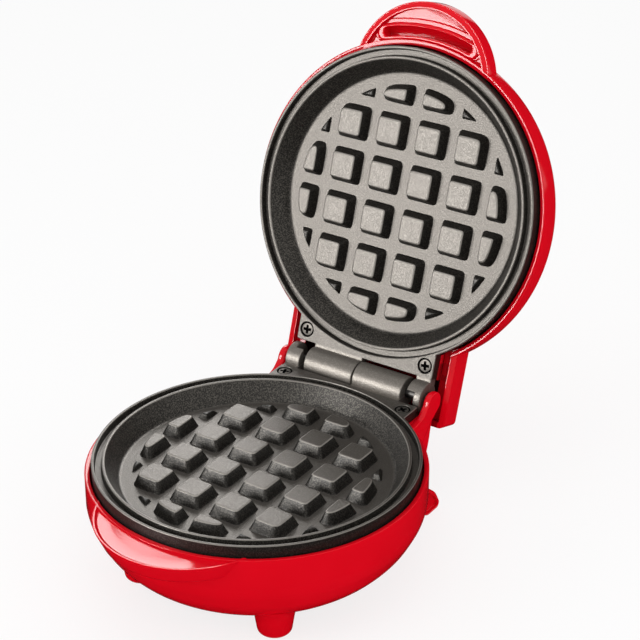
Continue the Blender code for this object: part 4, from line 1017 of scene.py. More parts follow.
def underside_steps():
    """The bosses beneath with their holes, and the two counterbored screw seats in the flange."""
    root = PLATE_UNDER + BOSS_OVERLAP
    hole_end = PLATE_UNDER + BOSS_HOLE_OVERLAP
    steps = [
        add(drum(CENTRE_BOSS, REFLECTOR_TOP + 0.3, root, edge=0.3)),
        add(drum(FRONT_BOSS, PLATE_UNDER - FRONT_BOSS_DEPTH, root, centre=FRONT_SCREW, edge=0.3)),
        cut(drum(BOSS_HOLE, REFLECTOR_TOP, hole_end)),
        cut(drum(BOSS_HOLE, PLATE_UNDER - FRONT_HOLE_DEPTH, hole_end, centre=FRONT_SCREW)),
    ]
    seat = [
        (0.5, LIP_TOP - SEAT_DEPTH, 0),
        (SEAT_RADIUS, LIP_TOP - SEAT_DEPTH, 0.2),
        (SEAT_RADIUS, LIP_TOP, 0.15),
        (SEAT_RADIUS + 0.25, LIP_TOP + 0.2, 0),
        (0.5, ABOVE, 0),
    ]
    for side in (-1, 1):
        steps.append(cut(lathe(seat, 64, screw_place(side))))
        steps.append(cut(drum(SCREW_HOLE, FLANGE_UNDER - PAST, PAST, centre=screw_place(side))))
    return steps


casting = fused(plate_body(), *[add(block) for block in waffle_blocks()], *hinge_steps(), *underside_steps())
print("casting:", len(casting.polygons), "faces")
for body, half in (("base", "lower"), ("lid", "upper")):
    put(f"{half}_casting", casting.copy(), COATING[body], body, f"{half}_plate", True)

# %% [markdown]
# ## Shells
#
# The base and the lid are thin red mouldings: a turned bowl or crown with a straight side and a
# narrow flat rim. They could be turned from a profile and given their wall by Solidify, but the
# rim's two soft corners are what draws the bright line round the plate, so the profile is drawn
# whole: up the outside, over the rim, and down the inside.

# %% Sizes of the shells
SHELL_RADIUS = 62.97
SHELL_WALL = 1.9
SHELL_EDGE = -4.42
RIM_SOFTNESS = 0.25
RIM_FLAT = 0.75
RIM_FALL = 0.25
SLOPE_BACK = -30
SIDE_LEAD = 4
TURN_STEPS = 240
HAIR = 0.02
BASE_SHAPE = {
    "depth": 39.5,
    "side": 16.0,
    "shares": (
        (0.985, 0.19),
        (0.959, 0.345),
        (0.925, 0.51),
        (0.88, 0.66),
        (0.83, 0.79),
        (0.755, 0.93),
        (0.68, 1),
    ),
}
LID_SHAPE = {
    "depth": 24.0,
    "side": 12.5,
    "shares": ((0.99, 0.25), (0.955, 0.5), (0.89, 0.7), (0.78, 0.86), (0.6, 0.96), (0.38, 1)),
}


def shell_line(shape, inset=0.0):
    """A smooth line from the side's end to the flat bottom: radius less the inset, height plus the inset.

    Its first span only makes the curve leave the side upright, and is left out.
    """
    depth, side, shares = shape["depth"], shape["side"], shape["shares"]
    points = [(SHELL_RADIUS, -side + SIDE_LEAD), (SHELL_RADIUS, -side)]
    points += [(SHELL_RADIUS * radius, -side - fall * (depth - side)) for radius, fall in shares]
    points.append((SHELL_RADIUS * shares[-1][0] / 2, -depth))
    return curve_through(points)[SPAN_STEPS:] + np.array([-inset, inset])


def shell(shape):
    """The hollow bowl, turned."""
    outside = [(r, z, 0) for r, z in shell_line(shape)[::-1]]
    inside = [(r, z, 0) for r, z in shell_line(shape, SHELL_WALL)]
    rim = [
        (SHELL_RADIUS, SHELL_EDGE, RIM_SOFTNESS),
        (SHELL_RADIUS - RIM_FLAT, SHELL_EDGE, 0.1),
        (SHELL_RADIUS - SHELL_WALL, SHELL_EDGE - RIM_FALL, RIM_SOFTNESS),
    ]
    return lathe(outside + rim + inside, TURN_STEPS)


def rim_slope():
    """A cutter that gives the rim's slope back where the handle is fused on."""
    inner = SHELL_RADIUS - SHELL_WALL - 1
    fall = RIM_FALL * (SHELL_RADIUS - RIM_FLAT - inner) / (SHELL_WALL - RIM_FLAT)
    outer = SHELL_RADIUS - RIM_FLAT
    section = [(inner, SHELL_EDGE - fall), (outer, SHELL_EDGE), (outer, ABOVE), (inner, ABOVE)]
    front = sharp_box((-WIDE, -LONG, -TALL), (WIDE, SLOPE_BACK, TALL))
    return fused(turned(section, TURN_STEPS, ring=True), keep(front))


def shell_room(shape, inset=SHELL_WALL + HAIR):
    """What fills a shell's hollow. A hair smaller, it trims what is added outside."""
    line = shell_line(shape, inset)
    return turned(np.vstack([[(line[0][0], ABOVE)], line]), TURN_STEPS)


# %% Shared inner parts
PLATE_ROOM_RADIUS = 60.69
PLATE_ROOM_BOTTOM = -7.3
LEDGE_TOP = -4.5
LEDGE_THICKNESS = 2.2
LEDGE_FRONT = 45.0
LEDGE_BACK = 62.2
LEDGE_CUT_BOTTOM = -12
CHEEK_INNER = 31.8
BOSS_RADIUS = 3.4
BOSS_DEPTH = 12.0
RIB_WIDTH = 2.4
RIB_DROP = 8.0
RIB_OUTER = 61.3
TOUCH = 0.01
RIB_ANGLES = (205, 245, 295, 335)


def plate_room():
    return drum(PLATE_ROOM_RADIUS, PLATE_ROOM_BOTTOM, ABOVE, TURN_STEPS)


def ledge(half_width):
    """The shelf under a plate's flange, outside the plate's round skirt."""
    low = (-half_width, LEDGE_FRONT, LEDGE_TOP - LEDGE_THICKNESS)
    shelf = block_of(low, (half_width, LEDGE_BACK, LEDGE_TOP), 0.05, 0.15)
    return fused(shelf, cut(drum(PLATE_ROOM_RADIUS, LEDGE_CUT_BOTTOM, ABOVE, TURN_STEPS)))


def inner_steps():
    """Screw bosses with blind holes, and the short ribs under the plate's skirt, a touch below it."""
    steps = []
    for side in (-1, 1):
        centre = screw_place(side)
        boss = drum(BOSS_RADIUS, LEDGE_TOP - BOSS_DEPTH, LEDGE_TOP - TOUCH, 40, centre)
        steps.append(add(fused(boss, cut(plate_room()))))
        steps.append(cut(drum(BOSS_HOLE, LEDGE_TOP - BOSS_DEPTH + SHELL_WALL, 0, 32, centre)))
    top = PLATE_ROOM_BOTTOM - TOUCH
    for angle in RIB_ANGLES:
        rib = block_of((SKIRT_INNER + 0.3, -RIB_WIDTH / 2, top - RIB_DROP), (RIB_OUTER, RIB_WIDTH / 2, top))
        steps.append(add(moved(rib, turn=Matrix.Rotation(math.radians(angle), 4, "Z"))))
    return steps


print("shell of", len(shell_line(BASE_SHAPE)), "points in its bowl line")

# %% [markdown]
# ## Base: tongue, hinge block, cheeks and feet
#
# The tongue at the front is a tapered disc whose top falls from a thin lip to a hollow, so it is
# turned about its own centre and the bowl's hollow trims it. The block behind carries two cheeks
# with round ears beside the pin. A moulding has no sharp edge, so each is a prism whose rims are
# rounded as it is drawn, which is sturdier than a Bevel on a Boolean's result.

# %% Tongue
TONGUE_RADIUS = 34.2
TONGUE_FORWARD = 41.0
TONGUE_THICKNESS = 7.9
TONGUE_TAPER = 3.5
SCOOP_STEP = 0.8
SCOOP_STEP_WIDTH = 1.4
SCOOP_SLOPE = -0.05
SCOOP_LIP = 0.75
DISC_CORE = 10


def tongue():
    """Turned: inside the lip the top falls by step (3 s^2 - 2 s^3) over the step's width, then rises."""
    under = SHELL_EDGE - TONGUE_THICKNESS
    lip = TONGUE_RADIUS - SCOOP_LIP
    outside = [
        (DISC_CORE, under, 0),
        (TONGUE_RADIUS - TONGUE_TAPER, under, 1.8),
        (TONGUE_RADIUS, SHELL_EDGE, 0.7),
    ]
    inward = np.append(np.linspace(0, SCOOP_STEP_WIDTH, 9), (6.0, lip - DISC_CORE))
    s = np.minimum(inward / SCOOP_STEP_WIDTH, 1)
    height = SHELL_EDGE - SCOOP_STEP * (3 * s**2 - 2 * s**3)
    height = height - SCOOP_SLOPE * np.maximum(inward - SCOOP_STEP_WIDTH, 0)
    top = [(lip - r, z, 0) for r, z in zip(inward, height)]
    return lathe(outside + top, TURN_STEPS, (0, -TONGUE_FORWARD))


# %% Hinge block and cheeks
BLOCK_HALF = 35.0
BLOCK_FRONT = 45.0
BLOCK_LEVEL = -6.7
BLOCK_SIDE_VIEW = (
    (BLOCK_FRONT, BLOCK_LEVEL, 0),
    (66.2, BLOCK_LEVEL, 1.0),
    (64.6, -15.5, 3.0),
    (61.5, -24.0, 3.0),
    (BLOCK_FRONT, -33.0, 0),
)
CHEEK_RADIUS = 6.2
EAR_CENTRE = (67.9, -0.9)
EAR_RADIUS = 4.7
EAR_SWEEP = (170, -40, 30)
CHEEK_FOOT = -12
CHEEK_FRONT = ((45, CHEEK_FOOT, 0), (45, SHELL_EDGE, 0), (53.5, SHELL_EDGE, 2.0), (59.6, -3.5, 2.4))
CHEEK_BACK = ((66.2, -7.3, 0.4), (65.0, CHEEK_FOOT, 0))


def hinge_block():
    return prism(rounded(BLOCK_SIDE_VIEW), -BLOCK_HALF, BLOCK_HALF, "X", 0.7)


def block_hollow():
    """The room in the hinge block: its side view drawn in by the wall, and open towards the bowl."""
    view = rounded([(y, z, 0.3) for y, z, reach in BLOCK_SIDE_VIEW])
    half = BLOCK_HALF - SHELL_WALL
    opened = np.array([SHELL_WALL, 0]) * (view[:, :1] < BLOCK_FRONT + 1)
    return prism(drawn_in(view, SHELL_WALL) - opened, -half, half, "X", 0.2)


def cheek():
    """Side view: a shelf, a slope, then the ear y = c + r cos a, z = d + r sin a over its sweep."""
    ear = np.array(EAR_CENTRE) + EAR_RADIUS * heading(np.radians(np.linspace(*EAR_SWEEP)))
    rows = [*CHEEK_FRONT, *((y, z, 0) for y, z in ear), *CHEEK_BACK]
    return prism(rounded(rows), CHEEK_INNER, BLOCK_HALF - HAIR, "X", 0.4, low_edge=1.7)


# %% Feet
FLOOR = -47.0
FRONT_FOOT = (30.0, -32.5)
FRONT_FOOT_ROWS = ((9.6, 13.5, 0), (7.6, 9.4, 2.4), (6.15, 0, 1.9), (1.5, 0, 0))
REAR_FOOT_INNER = 28.5
REAR_FOOT_OUTER = 37.5
REAR_FOOT_FRONT = 40.0
REAR_FOOT_REACH = 29.9
REAR_FOOT_RISE = 19.0
REAR_FOOT_SHARES = (
    (0, 1, 0),
    (0.69, 0.684, 2),
    (0.89, 0.42, 2),
    (1, 0.11, 1.6),
    (0.953, 0, 0.8),
    (0.7, 0, 1.2),
    (0.535, 0.16, 1.5),
    (0, 0.6, 0),
)
FOOT_RECESS_INSET = 1.5
FOOT_RECESS_DEPTH = 1.0


def front_foot(side):
    """Turned: a flared root, a slight taper and a round end."""
    rows = [(radius, FLOOR + rise, reach) for radius, rise, reach in FRONT_FOOT_ROWS]
    return lathe(rows, 72, (side * FRONT_FOOT[0], FRONT_FOOT[1]), 8)


def rear_foot():
    """A leg seen from the side, with a shallow recess in its outer face."""
    rows = []
    for along, rise, reach in REAR_FOOT_SHARES:
        rows.append((REAR_FOOT_FRONT + REAR_FOOT_REACH * along, FLOOR + REAR_FOOT_RISE * rise, reach))
    view = rounded(rows)
    recess = drawn_in(view, FOOT_RECESS_INSET)
    leg = prism(view, REAR_FOOT_INNER, REAR_FOOT_OUTER, "X", 0.55)
    return fused(leg, cut(prism(recess, REAR_FOOT_OUTER - FOOT_RECESS_DEPTH, REAR_FOOT_OUTER + 2, "X", 0.2)))


# %% Base shell
GUARD_REACH = 11.47
GUARD_EDGE = SHELL_EDGE - 0.3
STOP_HALF = 6.0
STOP_HEIGHT = 4.0
STOP_FRONT = 62.7
STOP_GAP = 0.3
BUSHING_LEVEL = -26.0
GLAND_RADIUS = 7.5
GLAND_FRONT = 53.47
GLAND_BACK = 64.0
GLAND_BORE = 5.2
GLAND_BORE_FRONT = 31.0
POST_RADIUS = 5.2
POST_BORE = 3.4
POST_TOP = PLATE_UNDER - 5.3
POST_ROOF = 3
POST_FOOT = -45
BEHIND = 90


def lid_stop():
    """The rib that the open guard's edge rests on: the guard's edge turned by the opening angle."""
    back = HINGE_BACK + GUARD_REACH * math.cos(open_angle) - GUARD_EDGE * math.sin(open_angle)
    level = -GUARD_REACH * math.sin(open_angle) - GUARD_EDGE * math.cos(open_angle)
    half = STOP_HEIGHT / 2
    low = (-STOP_HALF, STOP_FRONT, level - half)
    return block_of(low, (STOP_HALF, back - STOP_GAP, level + half), 0.4, 0.4)


def along_back(radius, front, back, edge=0.0):
    """A round length along Y at the bushing's height."""
    return moved(drum(radius, front, back, 64, edge=edge), z=BUSHING_LEVEL, turn=ALONG_Y)


def front_post():
    """The front screw's post, trimmed half way into the bowl's wall."""
    post = drum(POST_RADIUS, POST_FOOT, POST_TOP, centre=FRONT_SCREW, edge=0.3)
    return fused(post, keep(shell_room(BASE_SHAPE, SHELL_WALL / 2)))


base_shell = fused(
    shell(BASE_SHAPE),
    add(tongue()),
    add(hinge_block()),
    add(rear_foot()),
    add(mirrored(rear_foot())),
    add(front_foot(-1)),
    add(front_foot(1)),
    cut(shell_room(BASE_SHAPE)),
    cut(block_hollow()),
    add(cheek()),
    add(mirrored(cheek())),
    cut(plate_room()),
    cut(sharp_box((-CHEEK_INNER, LEDGE_BACK, BLOCK_LEVEL), (CHEEK_INNER, BEHIND, ABOVE))),
    add(ledge(CHEEK_INNER + 0.4)),
    add(lid_stop()),
    *inner_steps(),
    add(along_back(GLAND_RADIUS, GLAND_FRONT, GLAND_BACK, 0.4)),
    cut(along_back(GLAND_BORE, GLAND_BORE_FRONT, BEHIND)),
    add(front_post()),
    cut(drum(POST_BORE, POST_FOOT, POST_TOP - POST_ROOF, centre=FRONT_SCREW)),
    cut(drum(SCREW_HOLE, POST_FOOT, 0, centre=FRONT_SCREW)),
)
put("base_shell", base_shell, RED["base"], "base", "base_housing")

# %% [markdown]
# ## Lid: guard, handle, slot and lens seat
#
# The lid is the same kind of moulding, drawn upside down. Its handle is a hollow tongue: inside
# a rim wall lies a recess with a curved finger slot in a stepped collar. The guard behind is a
# folded roof over the hinge, open towards the pin. `sunk` draws the cutters whose mouths are
# soft, because the photograph's bright lines lie on exactly these rims.


# %% Soft-mouthed cutters and arc bands
LIFT = 0.002
BAND_STEPS = 48
CAP_STEPS = 14


def sunk(outline, low, high, edge=0.3):
    """A cutter along Z with a filleted floor. Its mouth opens by e(1 - cos a) at high - e + e sin a."""
    outline = np.asarray(outline, float)
    turn = np.linspace(0, math.pi / 2, 5)
    insets = np.concatenate([[0.7 * edge, 0.2 * edge, 0.0], -edge * (1 - np.cos(turn)), [-edge]])
    floor = [low, low + 0.2 * edge, low + 0.7 * edge]
    heights = np.concatenate([floor, high + edge * (np.sin(turn) - 1), [high + ABOVE]])
    loops = []
    for amount, height in zip(insets, heights):
        flat = drawn_in(outline, amount)
        loops.append(np.column_stack([flat, np.full(len(flat), height + LIFT)]))
    return solid(loops)


def round_outline(radius, centre):
    """A circle as an outline: x = r cos a, y = r sin a about its centre."""
    return np.array(centre) + radius * heading(full_turn(TURN_STEPS))


def arc_band(inner, outer, half_angle):
    """A band about the rim's centre, facing the front, with half circles as its ends."""
    across = (outer - inner) / 2
    line = -math.pi / 2 + np.radians(half_angle) * np.linspace(-1, 1, BAND_STEPS)
    radial = heading(line)
    cap = np.linspace(0, math.pi, CAP_STEPS)[1:-1]
    middle = (inner + outer) / 2
    ends = []
    for way, angle in ((radial[-1], line[-1]), (radial[0], line[0] + math.pi)):
        ends.append(middle * way + across * heading(angle + cap))
    return np.vstack([outer * radial, ends[0], inner * radial[::-1], ends[1]])


# %% Handle
HANDLE_RADIUS = 29.6
HANDLE_FORWARD = 48.4
HANDLE_THICKNESS = 7.6
HANDLE_WALL = 2.6
HANDLE_RECESS = 2.4
HANDLE_RIM_FALL = 0.4
SLOT_BAND = (64.4, 67.9)
SLOT_HALF_ANGLE = 15.5
SLOT_DEPTH = 5.5
SLOT_LEAN = 0.3
COLLARS = (
    # inner and outer radius, half angle, rise, softness
    (62.5, 69.6, 16.8, 1.3, 1.25),
    (62.5, 71.2, 17.2, 0.55, 0.5),
)


def leaning(cutter, below):
    """The slot's floor sloped, so that it drains: points under a level rise by a share of their radius."""
    points = vectors(cutter.vertices, "co")
    radius = np.hypot(points[:, 0], points[:, 1])
    points[:, 2] += (points[:, 2] < below) * SLOT_LEAN * (radius - SLOT_BAND[1])
    cutter.vertices.foreach_set("co", points.ravel())
    return cutter


def handle_recess():
    """The hollow inside the handle's wall, cleared of the shell's own wall and soft rim."""
    floor_level = SHELL_EDGE - HANDLE_RECESS
    outline = round_outline(HANDLE_RADIUS - HANDLE_WALL, (0, -HANDLE_FORWARD))
    top, side = SHELL_EDGE + HAIR, SHELL_RADIUS + HAIR
    wall = [(DISC_CORE, -TALL, 0), (side, -TALL, 0), (side, top, RIM_SOFTNESS), (DISC_CORE, top, 0)]
    return fused(sunk(outline, floor_level, SHELL_EDGE, 0.1), cut(lathe(wall, TURN_STEPS)))


def handle_steps():
    """The recess, the stepped collar in it, and the slot through the collar."""
    low = SHELL_EDGE - HANDLE_THICKNESS + 1
    floor_level = SHELL_EDGE - HANDLE_RECESS
    steps = [cut(handle_recess())]
    for inner, outer, half_angle, rise, softness in COLLARS:
        band = arc_band(inner, outer, half_angle)
        steps.append(add(prism(band, low, floor_level + rise, edge=softness, steps=5)))
    mouth = floor_level + COLLARS[0][3]
    slot = sunk(arc_band(*SLOT_BAND, SLOT_HALF_ANGLE), SHELL_EDGE - SLOT_DEPTH, mouth, 0.45)
    steps.append(cut(leaning(slot, SHELL_EDGE - SLOT_DEPTH + 0.5)))
    return steps


# %% Guard
GUARD_HALF = 37.65
GUARD_WALL = 2.35
GUARD_FRONT = 48.0
GUARD_BACK = HINGE_BACK + GUARD_REACH
GUARD_HEIGHT = 10.6
GUARD_ROOF_RISE = 3.5
GUARD_ROOF_SHARE = 0.6
GUARD_END_ROUND = 2.0
GUARD_EDGE_FALL = 0.6
GUARD_EXCESS = 5
GUARD_CUT_FRONT = 20
GUARD_LEVEL_WIDTH = 0.35
GUARD_FILLER_INNER = 31.0
GUARD_FILLER_TOP = -7.5


def guard(inset, front, back, edge):
    """The guard seen from behind: upright sides, then a roof that rises towards its flat middle."""
    half = GUARD_HALF - inset
    top = GUARD_EDGE + GUARD_EXCESS
    crease = GUARD_EDGE - GUARD_HEIGHT + inset
    side = [(half, top, 0.4), (half, crease, 1.3), (half * GUARD_ROOF_SHARE, crease - GUARD_ROOF_RISE, 1.3)]
    rows = side + [(-x, z, reach) for x, z, reach in side[::-1]]
    return prism(rounded(rows), front, back, "Y", edge, 5)


def guard_middle():
    """What fills the guard half way into its wall, to trim what is added inside."""
    return guard(GUARD_WALL / 2, GUARD_FRONT, GUARD_BACK, 0.1)


def guard_shell():
    """The whole guard, cut level: it is drawn too high, so that its round end meets the cut squarely."""
    return fused(
        guard(0.0, GUARD_FRONT, GUARD_BACK, GUARD_END_ROUND),
        cut(sharp_box((-WIDE, GUARD_CUT_FRONT, GUARD_EDGE), (WIDE, LONG, TALL))),
        cut(guard_slope()),
        cut(mirrored(guard_slope())),
    )


def guard_slope():
    """A wedge that lets the side wall's edge fall outwards from a narrow level line inside."""
    inner, outer = GUARD_HALF - GUARD_WALL + GUARD_LEVEL_WIDTH, GUARD_HALF + 1
    rows = [(inner, GUARD_EDGE), (outer, GUARD_EDGE - GUARD_EDGE_FALL), (outer, 9), (inner, 9)]
    return prism(np.array(rows), GUARD_FRONT - 3, GUARD_BACK + 3, "Y", 0.01, 1)


def guard_filler(side):
    """The guard's thick corner outside the cheek, clear of the cheek's ear as it turns."""
    low, high = sorted((side * GUARD_FILLER_INNER, side * (GUARD_HALF - GUARD_WALL / 2)))
    far = (high, GUARD_BACK - GUARD_WALL / 2, GUARD_FILLER_TOP)
    block = block_of((low, GUARD_FRONT, -TALL), far)
    return fused(block, keep(guard_middle()))


def guard_ledge():
    """The wall that closes the shell from the guard, and the shelf under the flange."""
    half = CHEEK_INNER - 0.3
    shoulder = -CHEEK_RADIUS - 1
    front = LEDGE_BACK - SHELL_WALL
    narrow = block_of((-half, front, shoulder - 0.6), (half, LEDGE_BACK - HAIR, LEDGE_TOP - 0.6), 0.05, 0.15)
    wide = fused(
        block_of((-GUARD_HALF, front, -24), (GUARD_HALF, LEDGE_BACK - HAIR, shoulder), 0.05, 0.05),
        keep(guard_middle()),
    )
    return fused(ledge(half), add(narrow), add(wide))


# %% Lid shell
LENS_FORWARD = 50.5
LENS_SEAT_TOP = -18.6
LENS_SEAT_RADIUS = 4.2
LENS_SEAT_HEIGHT = 2.2
LENS_HOLE = 2.9
LENS_PLACE = (0, -LENS_FORWARD)
HANDLE_ROWS = (
    (DISC_CORE, SHELL_EDGE - HANDLE_THICKNESS, 0),
    (HANDLE_RADIUS, SHELL_EDGE - HANDLE_THICKNESS, 0.9),
    (HANDLE_RADIUS, SHELL_EDGE - HANDLE_RIM_FALL, 0.2),
    (HANDLE_RADIUS - 0.55, SHELL_EDGE - HANDLE_RIM_FALL, 0.1),
    (HANDLE_RADIUS - HANDLE_WALL + 0.5, SHELL_EDGE, 0.1),
    (DISC_CORE, SHELL_EDGE, 0),
)
lid_shell = fused(
    shell(LID_SHAPE),
    add(guard_shell()),
    add(lathe(HANDLE_ROWS, TURN_STEPS, (0, -HANDLE_FORWARD))),
    cut(shell_room(LID_SHAPE)),
    cut(guard(GUARD_WALL, GUARD_FRONT, GUARD_BACK - GUARD_WALL, 0.2)),
    add(guard_ledge()),
    add(guard_filler(-1)),
    add(guard_filler(1)),
    cut(plate_room()),
    cut(rim_slope()),
    *handle_steps(),
    *inner_steps(),
    add(drum(LENS_SEAT_RADIUS, LENS_SEAT_TOP - LENS_SEAT_HEIGHT, LENS_SEAT_TOP, centre=LENS_PLACE, edge=0.2)),
    cut(drum(LENS_HOLE, -30, -10, centre=LENS_PLACE)),
)
put("lid_shell", lid_shell, RED["lid"], "lid", "lid_housing")

# %% [markdown]
# ## Metal, ceramic, glass and leads
#
# The rest of the machine is bought parts: zinc-plated screws, a drawn steel pin, sheathed
# elements, bright sheet, ceramic beads, black mouldings and two coloured leads. One function
# makes their materials from a base colour, a roughness and a grain, because their finishes differ
# only in these. The grain both mottles the colour and roughens the gloss. An attribute on a
# piece's faces blackens its recesses with a painted shade, as in a screw's cross and round its head.


# %% Bought parts' finishes
RECESS_COLOUR = (0.004, 0.004, 0.004, 1)
CLOUD_SIZE = 12
CLOUD_SHARE = 0.3
CLOUD_GLOSS = 0.14
AMBER = (0.78, 0.10, 0.03, 1)
AMBER_LIGHT = (0.86, 0.17, 0.06, 1)


def grained(name, colour, roughness, metallic, grain_scale, contrast=0.18, bump=0.15, recess=False):
    """A plain finish whose colour, gloss and surface all follow one grain."""
    sheet = new_sheet(name)
    place = sheet.out("ShaderNodeTexCoord", {}, {}, 3)
    grain = sheet.noise(place, grain_scale, 3.0, 0.6)
    clouds = sheet.noise(place, grain_scale / CLOUD_SIZE, 2.0)
    low = tuple(value * (1 - contrast) for value in colour)
    high = tuple(min(value * (1 + contrast), 1) for value in colour)
    mottled = sheet.mix(grain * (1 - CLOUD_SHARE) + clouds * CLOUD_SHARE, (*low, 1), (*high, 1))
    # Painted shade: the marked faces turn near black and lose their gloss.
    if recess:
        dark = sheet.out("ShaderNodeAttribute", {"attribute_name": "dark"}, {}, 2)
        mottled = sheet.mix(dark, mottled, RECESS_COLOUR)
        metallic = (1 - dark) * metallic
        sheet.dress({"Specular IOR Level": 0.0})
    return sheet.dress(
        {
            "Base Color": mottled,
            "Metallic": metallic,
            "Roughness": roughness + (clouds - 0.5) * CLOUD_GLOSS,
            "Normal": sheet.bump(grain, bump, 0.08 * MM),
        }
    )


FINISH_ROWS = (
    # name, colour, roughness, metallic, scale of the grain, contrast, bump, whether recesses are dark
    ("screw_steel", (0.085, 0.078, 0.07), 0.42, 0.6, 1500.0, 0.4, 0.15, True),
    ("pin_steel", (0.06, 0.057, 0.053), 0.45, 0.9, 1800.0),
    ("element_steel", (0.38, 0.36, 0.34), 0.42, 1.0, 1200.0, 0.3),
    ("reflector_sheet", (0.72, 0.73, 0.74), 0.3, 1.0, 700.0, 0.08),
    ("ceramic", (0.78, 0.74, 0.66), 0.7, 0.0, 1600.0, 0.08),
    ("black_plastic", (0.022, 0.022, 0.022), 0.45, 0.0, 2000.0, 0.25),
    ("lamp_glass", (0.85, 0.80, 0.75), 0.08, 0.0, 300.0, 0.04, 0.02),
    ("lead_brown", (0.12, 0.05, 0.02), 0.55, 0.0, 1400.0, 0.2),
    ("lead_blue", (0.02, 0.06, 0.35), 0.55, 0.0, 1400.0, 0.2),
)
FINISHES = {finish_row[0]: grained(*finish_row) for finish_row in FINISH_ROWS}
Sheet(FINISHES["lamp_glass"]).dress({"Transmission Weight": 0.8})


def lens_plastic():
    """Clear amber-red plastic: light passes, and fine flow lines bend it."""
    sheet = new_sheet("lens_plastic")
    place = sheet.out("ShaderNodeTexCoord", {}, {}, 3)
    flow = sheet.noise(place, 260.0, 2.0)
    return sheet.dress(
        {
            "Base Color": sheet.mix(flow, AMBER, AMBER_LIGHT),
            "Roughness": flow * 0.06 + 0.06,
            "Normal": sheet.bump(flow, 0.1, 0.2 * MM),
            "Transmission Weight": 0.55,
        }
    )


FINISHES["lens_plastic"] = lens_plastic()
print("finishes:", ", ".join(sorted(FINISHES)))

# %% [markdown]
# ## Screws, hinge pin, inlet bushing and lens
#
# Five screws are made anew: four in the plates' flanges and one under the base. Each head is
# turned with soft rims and has a cross with rounded arms. The faces inside the cross and round
# the head's side are marked for a painted shade. The pin, the bushing and the lens are turned as well.

# %% Screws
HEAD_RADIUS = 2.8
HEAD_FACE = 2.45
HEAD_HEIGHT = 1.7
SHANK_RADIUS = 1.2
CROSS_ARM = 0.56
CROSS_HALF = 1.8
CROSS_DEPTH = 1.1
CROSS_REACH = 2.2
HEAD_TOP = -0.5
TIP_LENGTH = 1.4
SOFT_DROP = 0.12
PLATE_SCREW_LENGTH = 8.5
FRONT_SCREW_LENGTH = 7.5
FRONT_HEAD_TOP = POST_TOP - 5


def cross_outline():
    """One arm of the cross, turned into four: x cos a - y sin a, x sin a + y cos a."""
    arm, half = CROSS_ARM, CROSS_HALF
    quarter = [(half, -arm, 0.2), (half, arm, 0.2), (arm, arm, 0.12)]
    rows = []
    for step in range(4):
        c, s = round(math.cos(step * math.pi / 2)), round(math.sin(step * math.pi / 2))
        rows += [(x * c - y * s, x * s + y * c, reach) for x, y, reach in quarter]
    return rounded(rows)


def screw(length, turn_degrees):
    """A screw with the top of its head at z = 0, and its shaded faces marked in the attribute dark."""
    rows = [
        (0.3, -length, 0),
        (SHANK_RADIUS, -length + TIP_LENGTH, 0.3),
        (SHANK_RADIUS, -HEAD_HEIGHT, 0.1),
        (HEAD_RADIUS, -HEAD_HEIGHT, 0.2),
        (HEAD_RADIUS, -0.6, 0.2),
        (HEAD_FACE, -SOFT_DROP, 0.15),
        (1.0, 0.0, 0.6),
        (0.3, 0.0, 0),
    ]
    shape = fused(lathe(rows, 64), cut(sunk(cross_outline(), -CROSS_DEPTH, 0.0, 0.05)))
    centres = vectors(shape.polygons, "center")
    distance = np.hypot(centres[:, 0], centres[:, 1])
    height = centres[:, 2]
    # Faces inside the cross and round the head's side are marked for the painted shade.
    in_cross = (height < -SOFT_DROP) & (height > -HEAD_HEIGHT + 0.3) & (distance < CROSS_REACH)
    on_side = (distance > HEAD_FACE) & (height < -0.14)
    shape.attributes.new("dark", "FLOAT", "FACE")
    shape.attributes["dark"].data.foreach_set("value", (in_cross | on_side).astype(np.float32))
    shape.transform(Matrix.Rotation(math.radians(turn_degrees), 4, "Z"))
    return shape


PLATE_SCREWS = (
    # node, side of the drawn half, turn of its cross
    ("lower_plate_screw_left", "base", -1, 18),
    ("lower_plate_screw_right", "base", 1, 52),
    ("upper_plate_screw_left", "lid", 1, 4),
    ("upper_plate_screw_right", "lid", -1, 8),
)
for node, body, side, turn_degrees in PLATE_SCREWS:
    made = screw(PLATE_SCREW_LENGTH, turn_degrees)
    made = moved(made, *screw_place(side), HEAD_TOP)
    put(f"{node}_fine", made, FINISHES["screw_steel"], body, node)

UPSIDE_DOWN = Matrix.Rotation(math.pi, 4, "X")
made = moved(screw(FRONT_SCREW_LENGTH, 30), *FRONT_SCREW, FRONT_HEAD_TOP, UPSIDE_DOWN)
put("base_front_screw_fine", made, FINISHES["screw_steel"], "base", "base_front_screw")

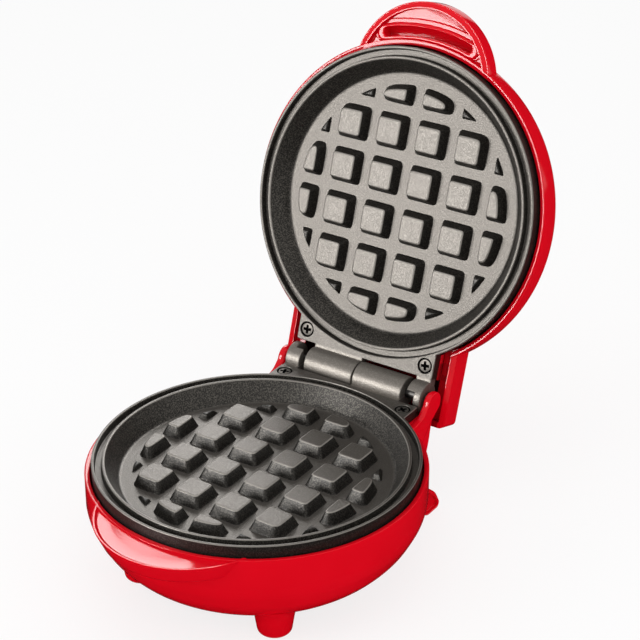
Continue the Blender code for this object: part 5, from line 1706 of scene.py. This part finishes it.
# %% Pin, bushing and lens
PIN_RADIUS = 2.0
PIN_HALF = 31.3
pin = hinge_drum(PIN_RADIUS, -PIN_HALF, PIN_HALF, 0.4)
put("hinge_pin_fine", pin, FINISHES["pin_steel"], "base", "hinge_pin")

BUSHING_ROWS = (
    (3.4, 54.8, 0.3),
    (4.9, 54.8, 0.3),
    (4.9, 64.3, 0.05),
    (6.5, 64.3, 0.25),
    (6.5, 66.5, 0.6),
    (3.4, 66.5, 0.6),
)
bushing = moved(turned(rounded(BUSHING_ROWS), 72, ring=True), z=BUSHING_LEVEL, turn=ALONG_Y)
put("inlet_bushing_fine", bushing, FINISHES["black_plastic"], "base", "inlet_bushing")

LENS_ROWS = (
    (0.4, -17.3, 0),
    (3.6, -17.3, 0.2),
    (3.6, -18.3, 0.15),
    (2.6, -18.3, 0.1),
    (2.6, -22.7, 0.9),
    (0.4, -23.0, 0),
)
lens = lathe(LENS_ROWS, 64, LENS_PLACE, 8)
put("indicator_lens_fine", lens, FINISHES["lens_plastic"], "lid", "indicator_lens")

# %% [markdown]
# ## The pieces that keep their CAD meshes
#
# Elements, reflectors, beads, thermostat, fuse, terminal block, leads and lamp lie inside. Their
# solids already have the right shapes, so they only get their finishes, by what they are made of.

# %% Finishes of the carried-over nodes
MADE_OF = {
    "pin_steel": ("hinge_pin",),
    "element_steel": ("heating_element",),
    "reflector_sheet": ("heat_reflector", "fuse_clip"),
    "ceramic": ("insulator", "thermal_fuse", "terminal_block"),
    "black_plastic": ("thermostat", "inlet_bushing", "lamp_holder"),
    "lamp_glass": ("indicator_lamp",),
    "lead_brown": ("lead_live",),
    "lead_blue": ("lead_neutral",),
    "lens_plastic": ("lens",),
}


def finish_of(name):
    """The finish whose words the node's name holds; a screw is a screw whatever it holds down."""
    if "screw" in name:
        return FINISHES["screw_steel"]
    if "housing" in name:
        return RED["lid" if name.startswith("lid") else "base"]
    for finish, words in MADE_OF.items():
        if any(word in name for word in words):
            return FINISHES[finish]
    return COATING["lid" if name.startswith("upper") else "base"]


for name, node in nodes.items():
    finish = finish_of(name)
    if not node.material_slots:
        node.data.materials.append(finish)
    for holder in node.material_slots:
        holder.material = finish
print(len(nodes), "nodes finished")
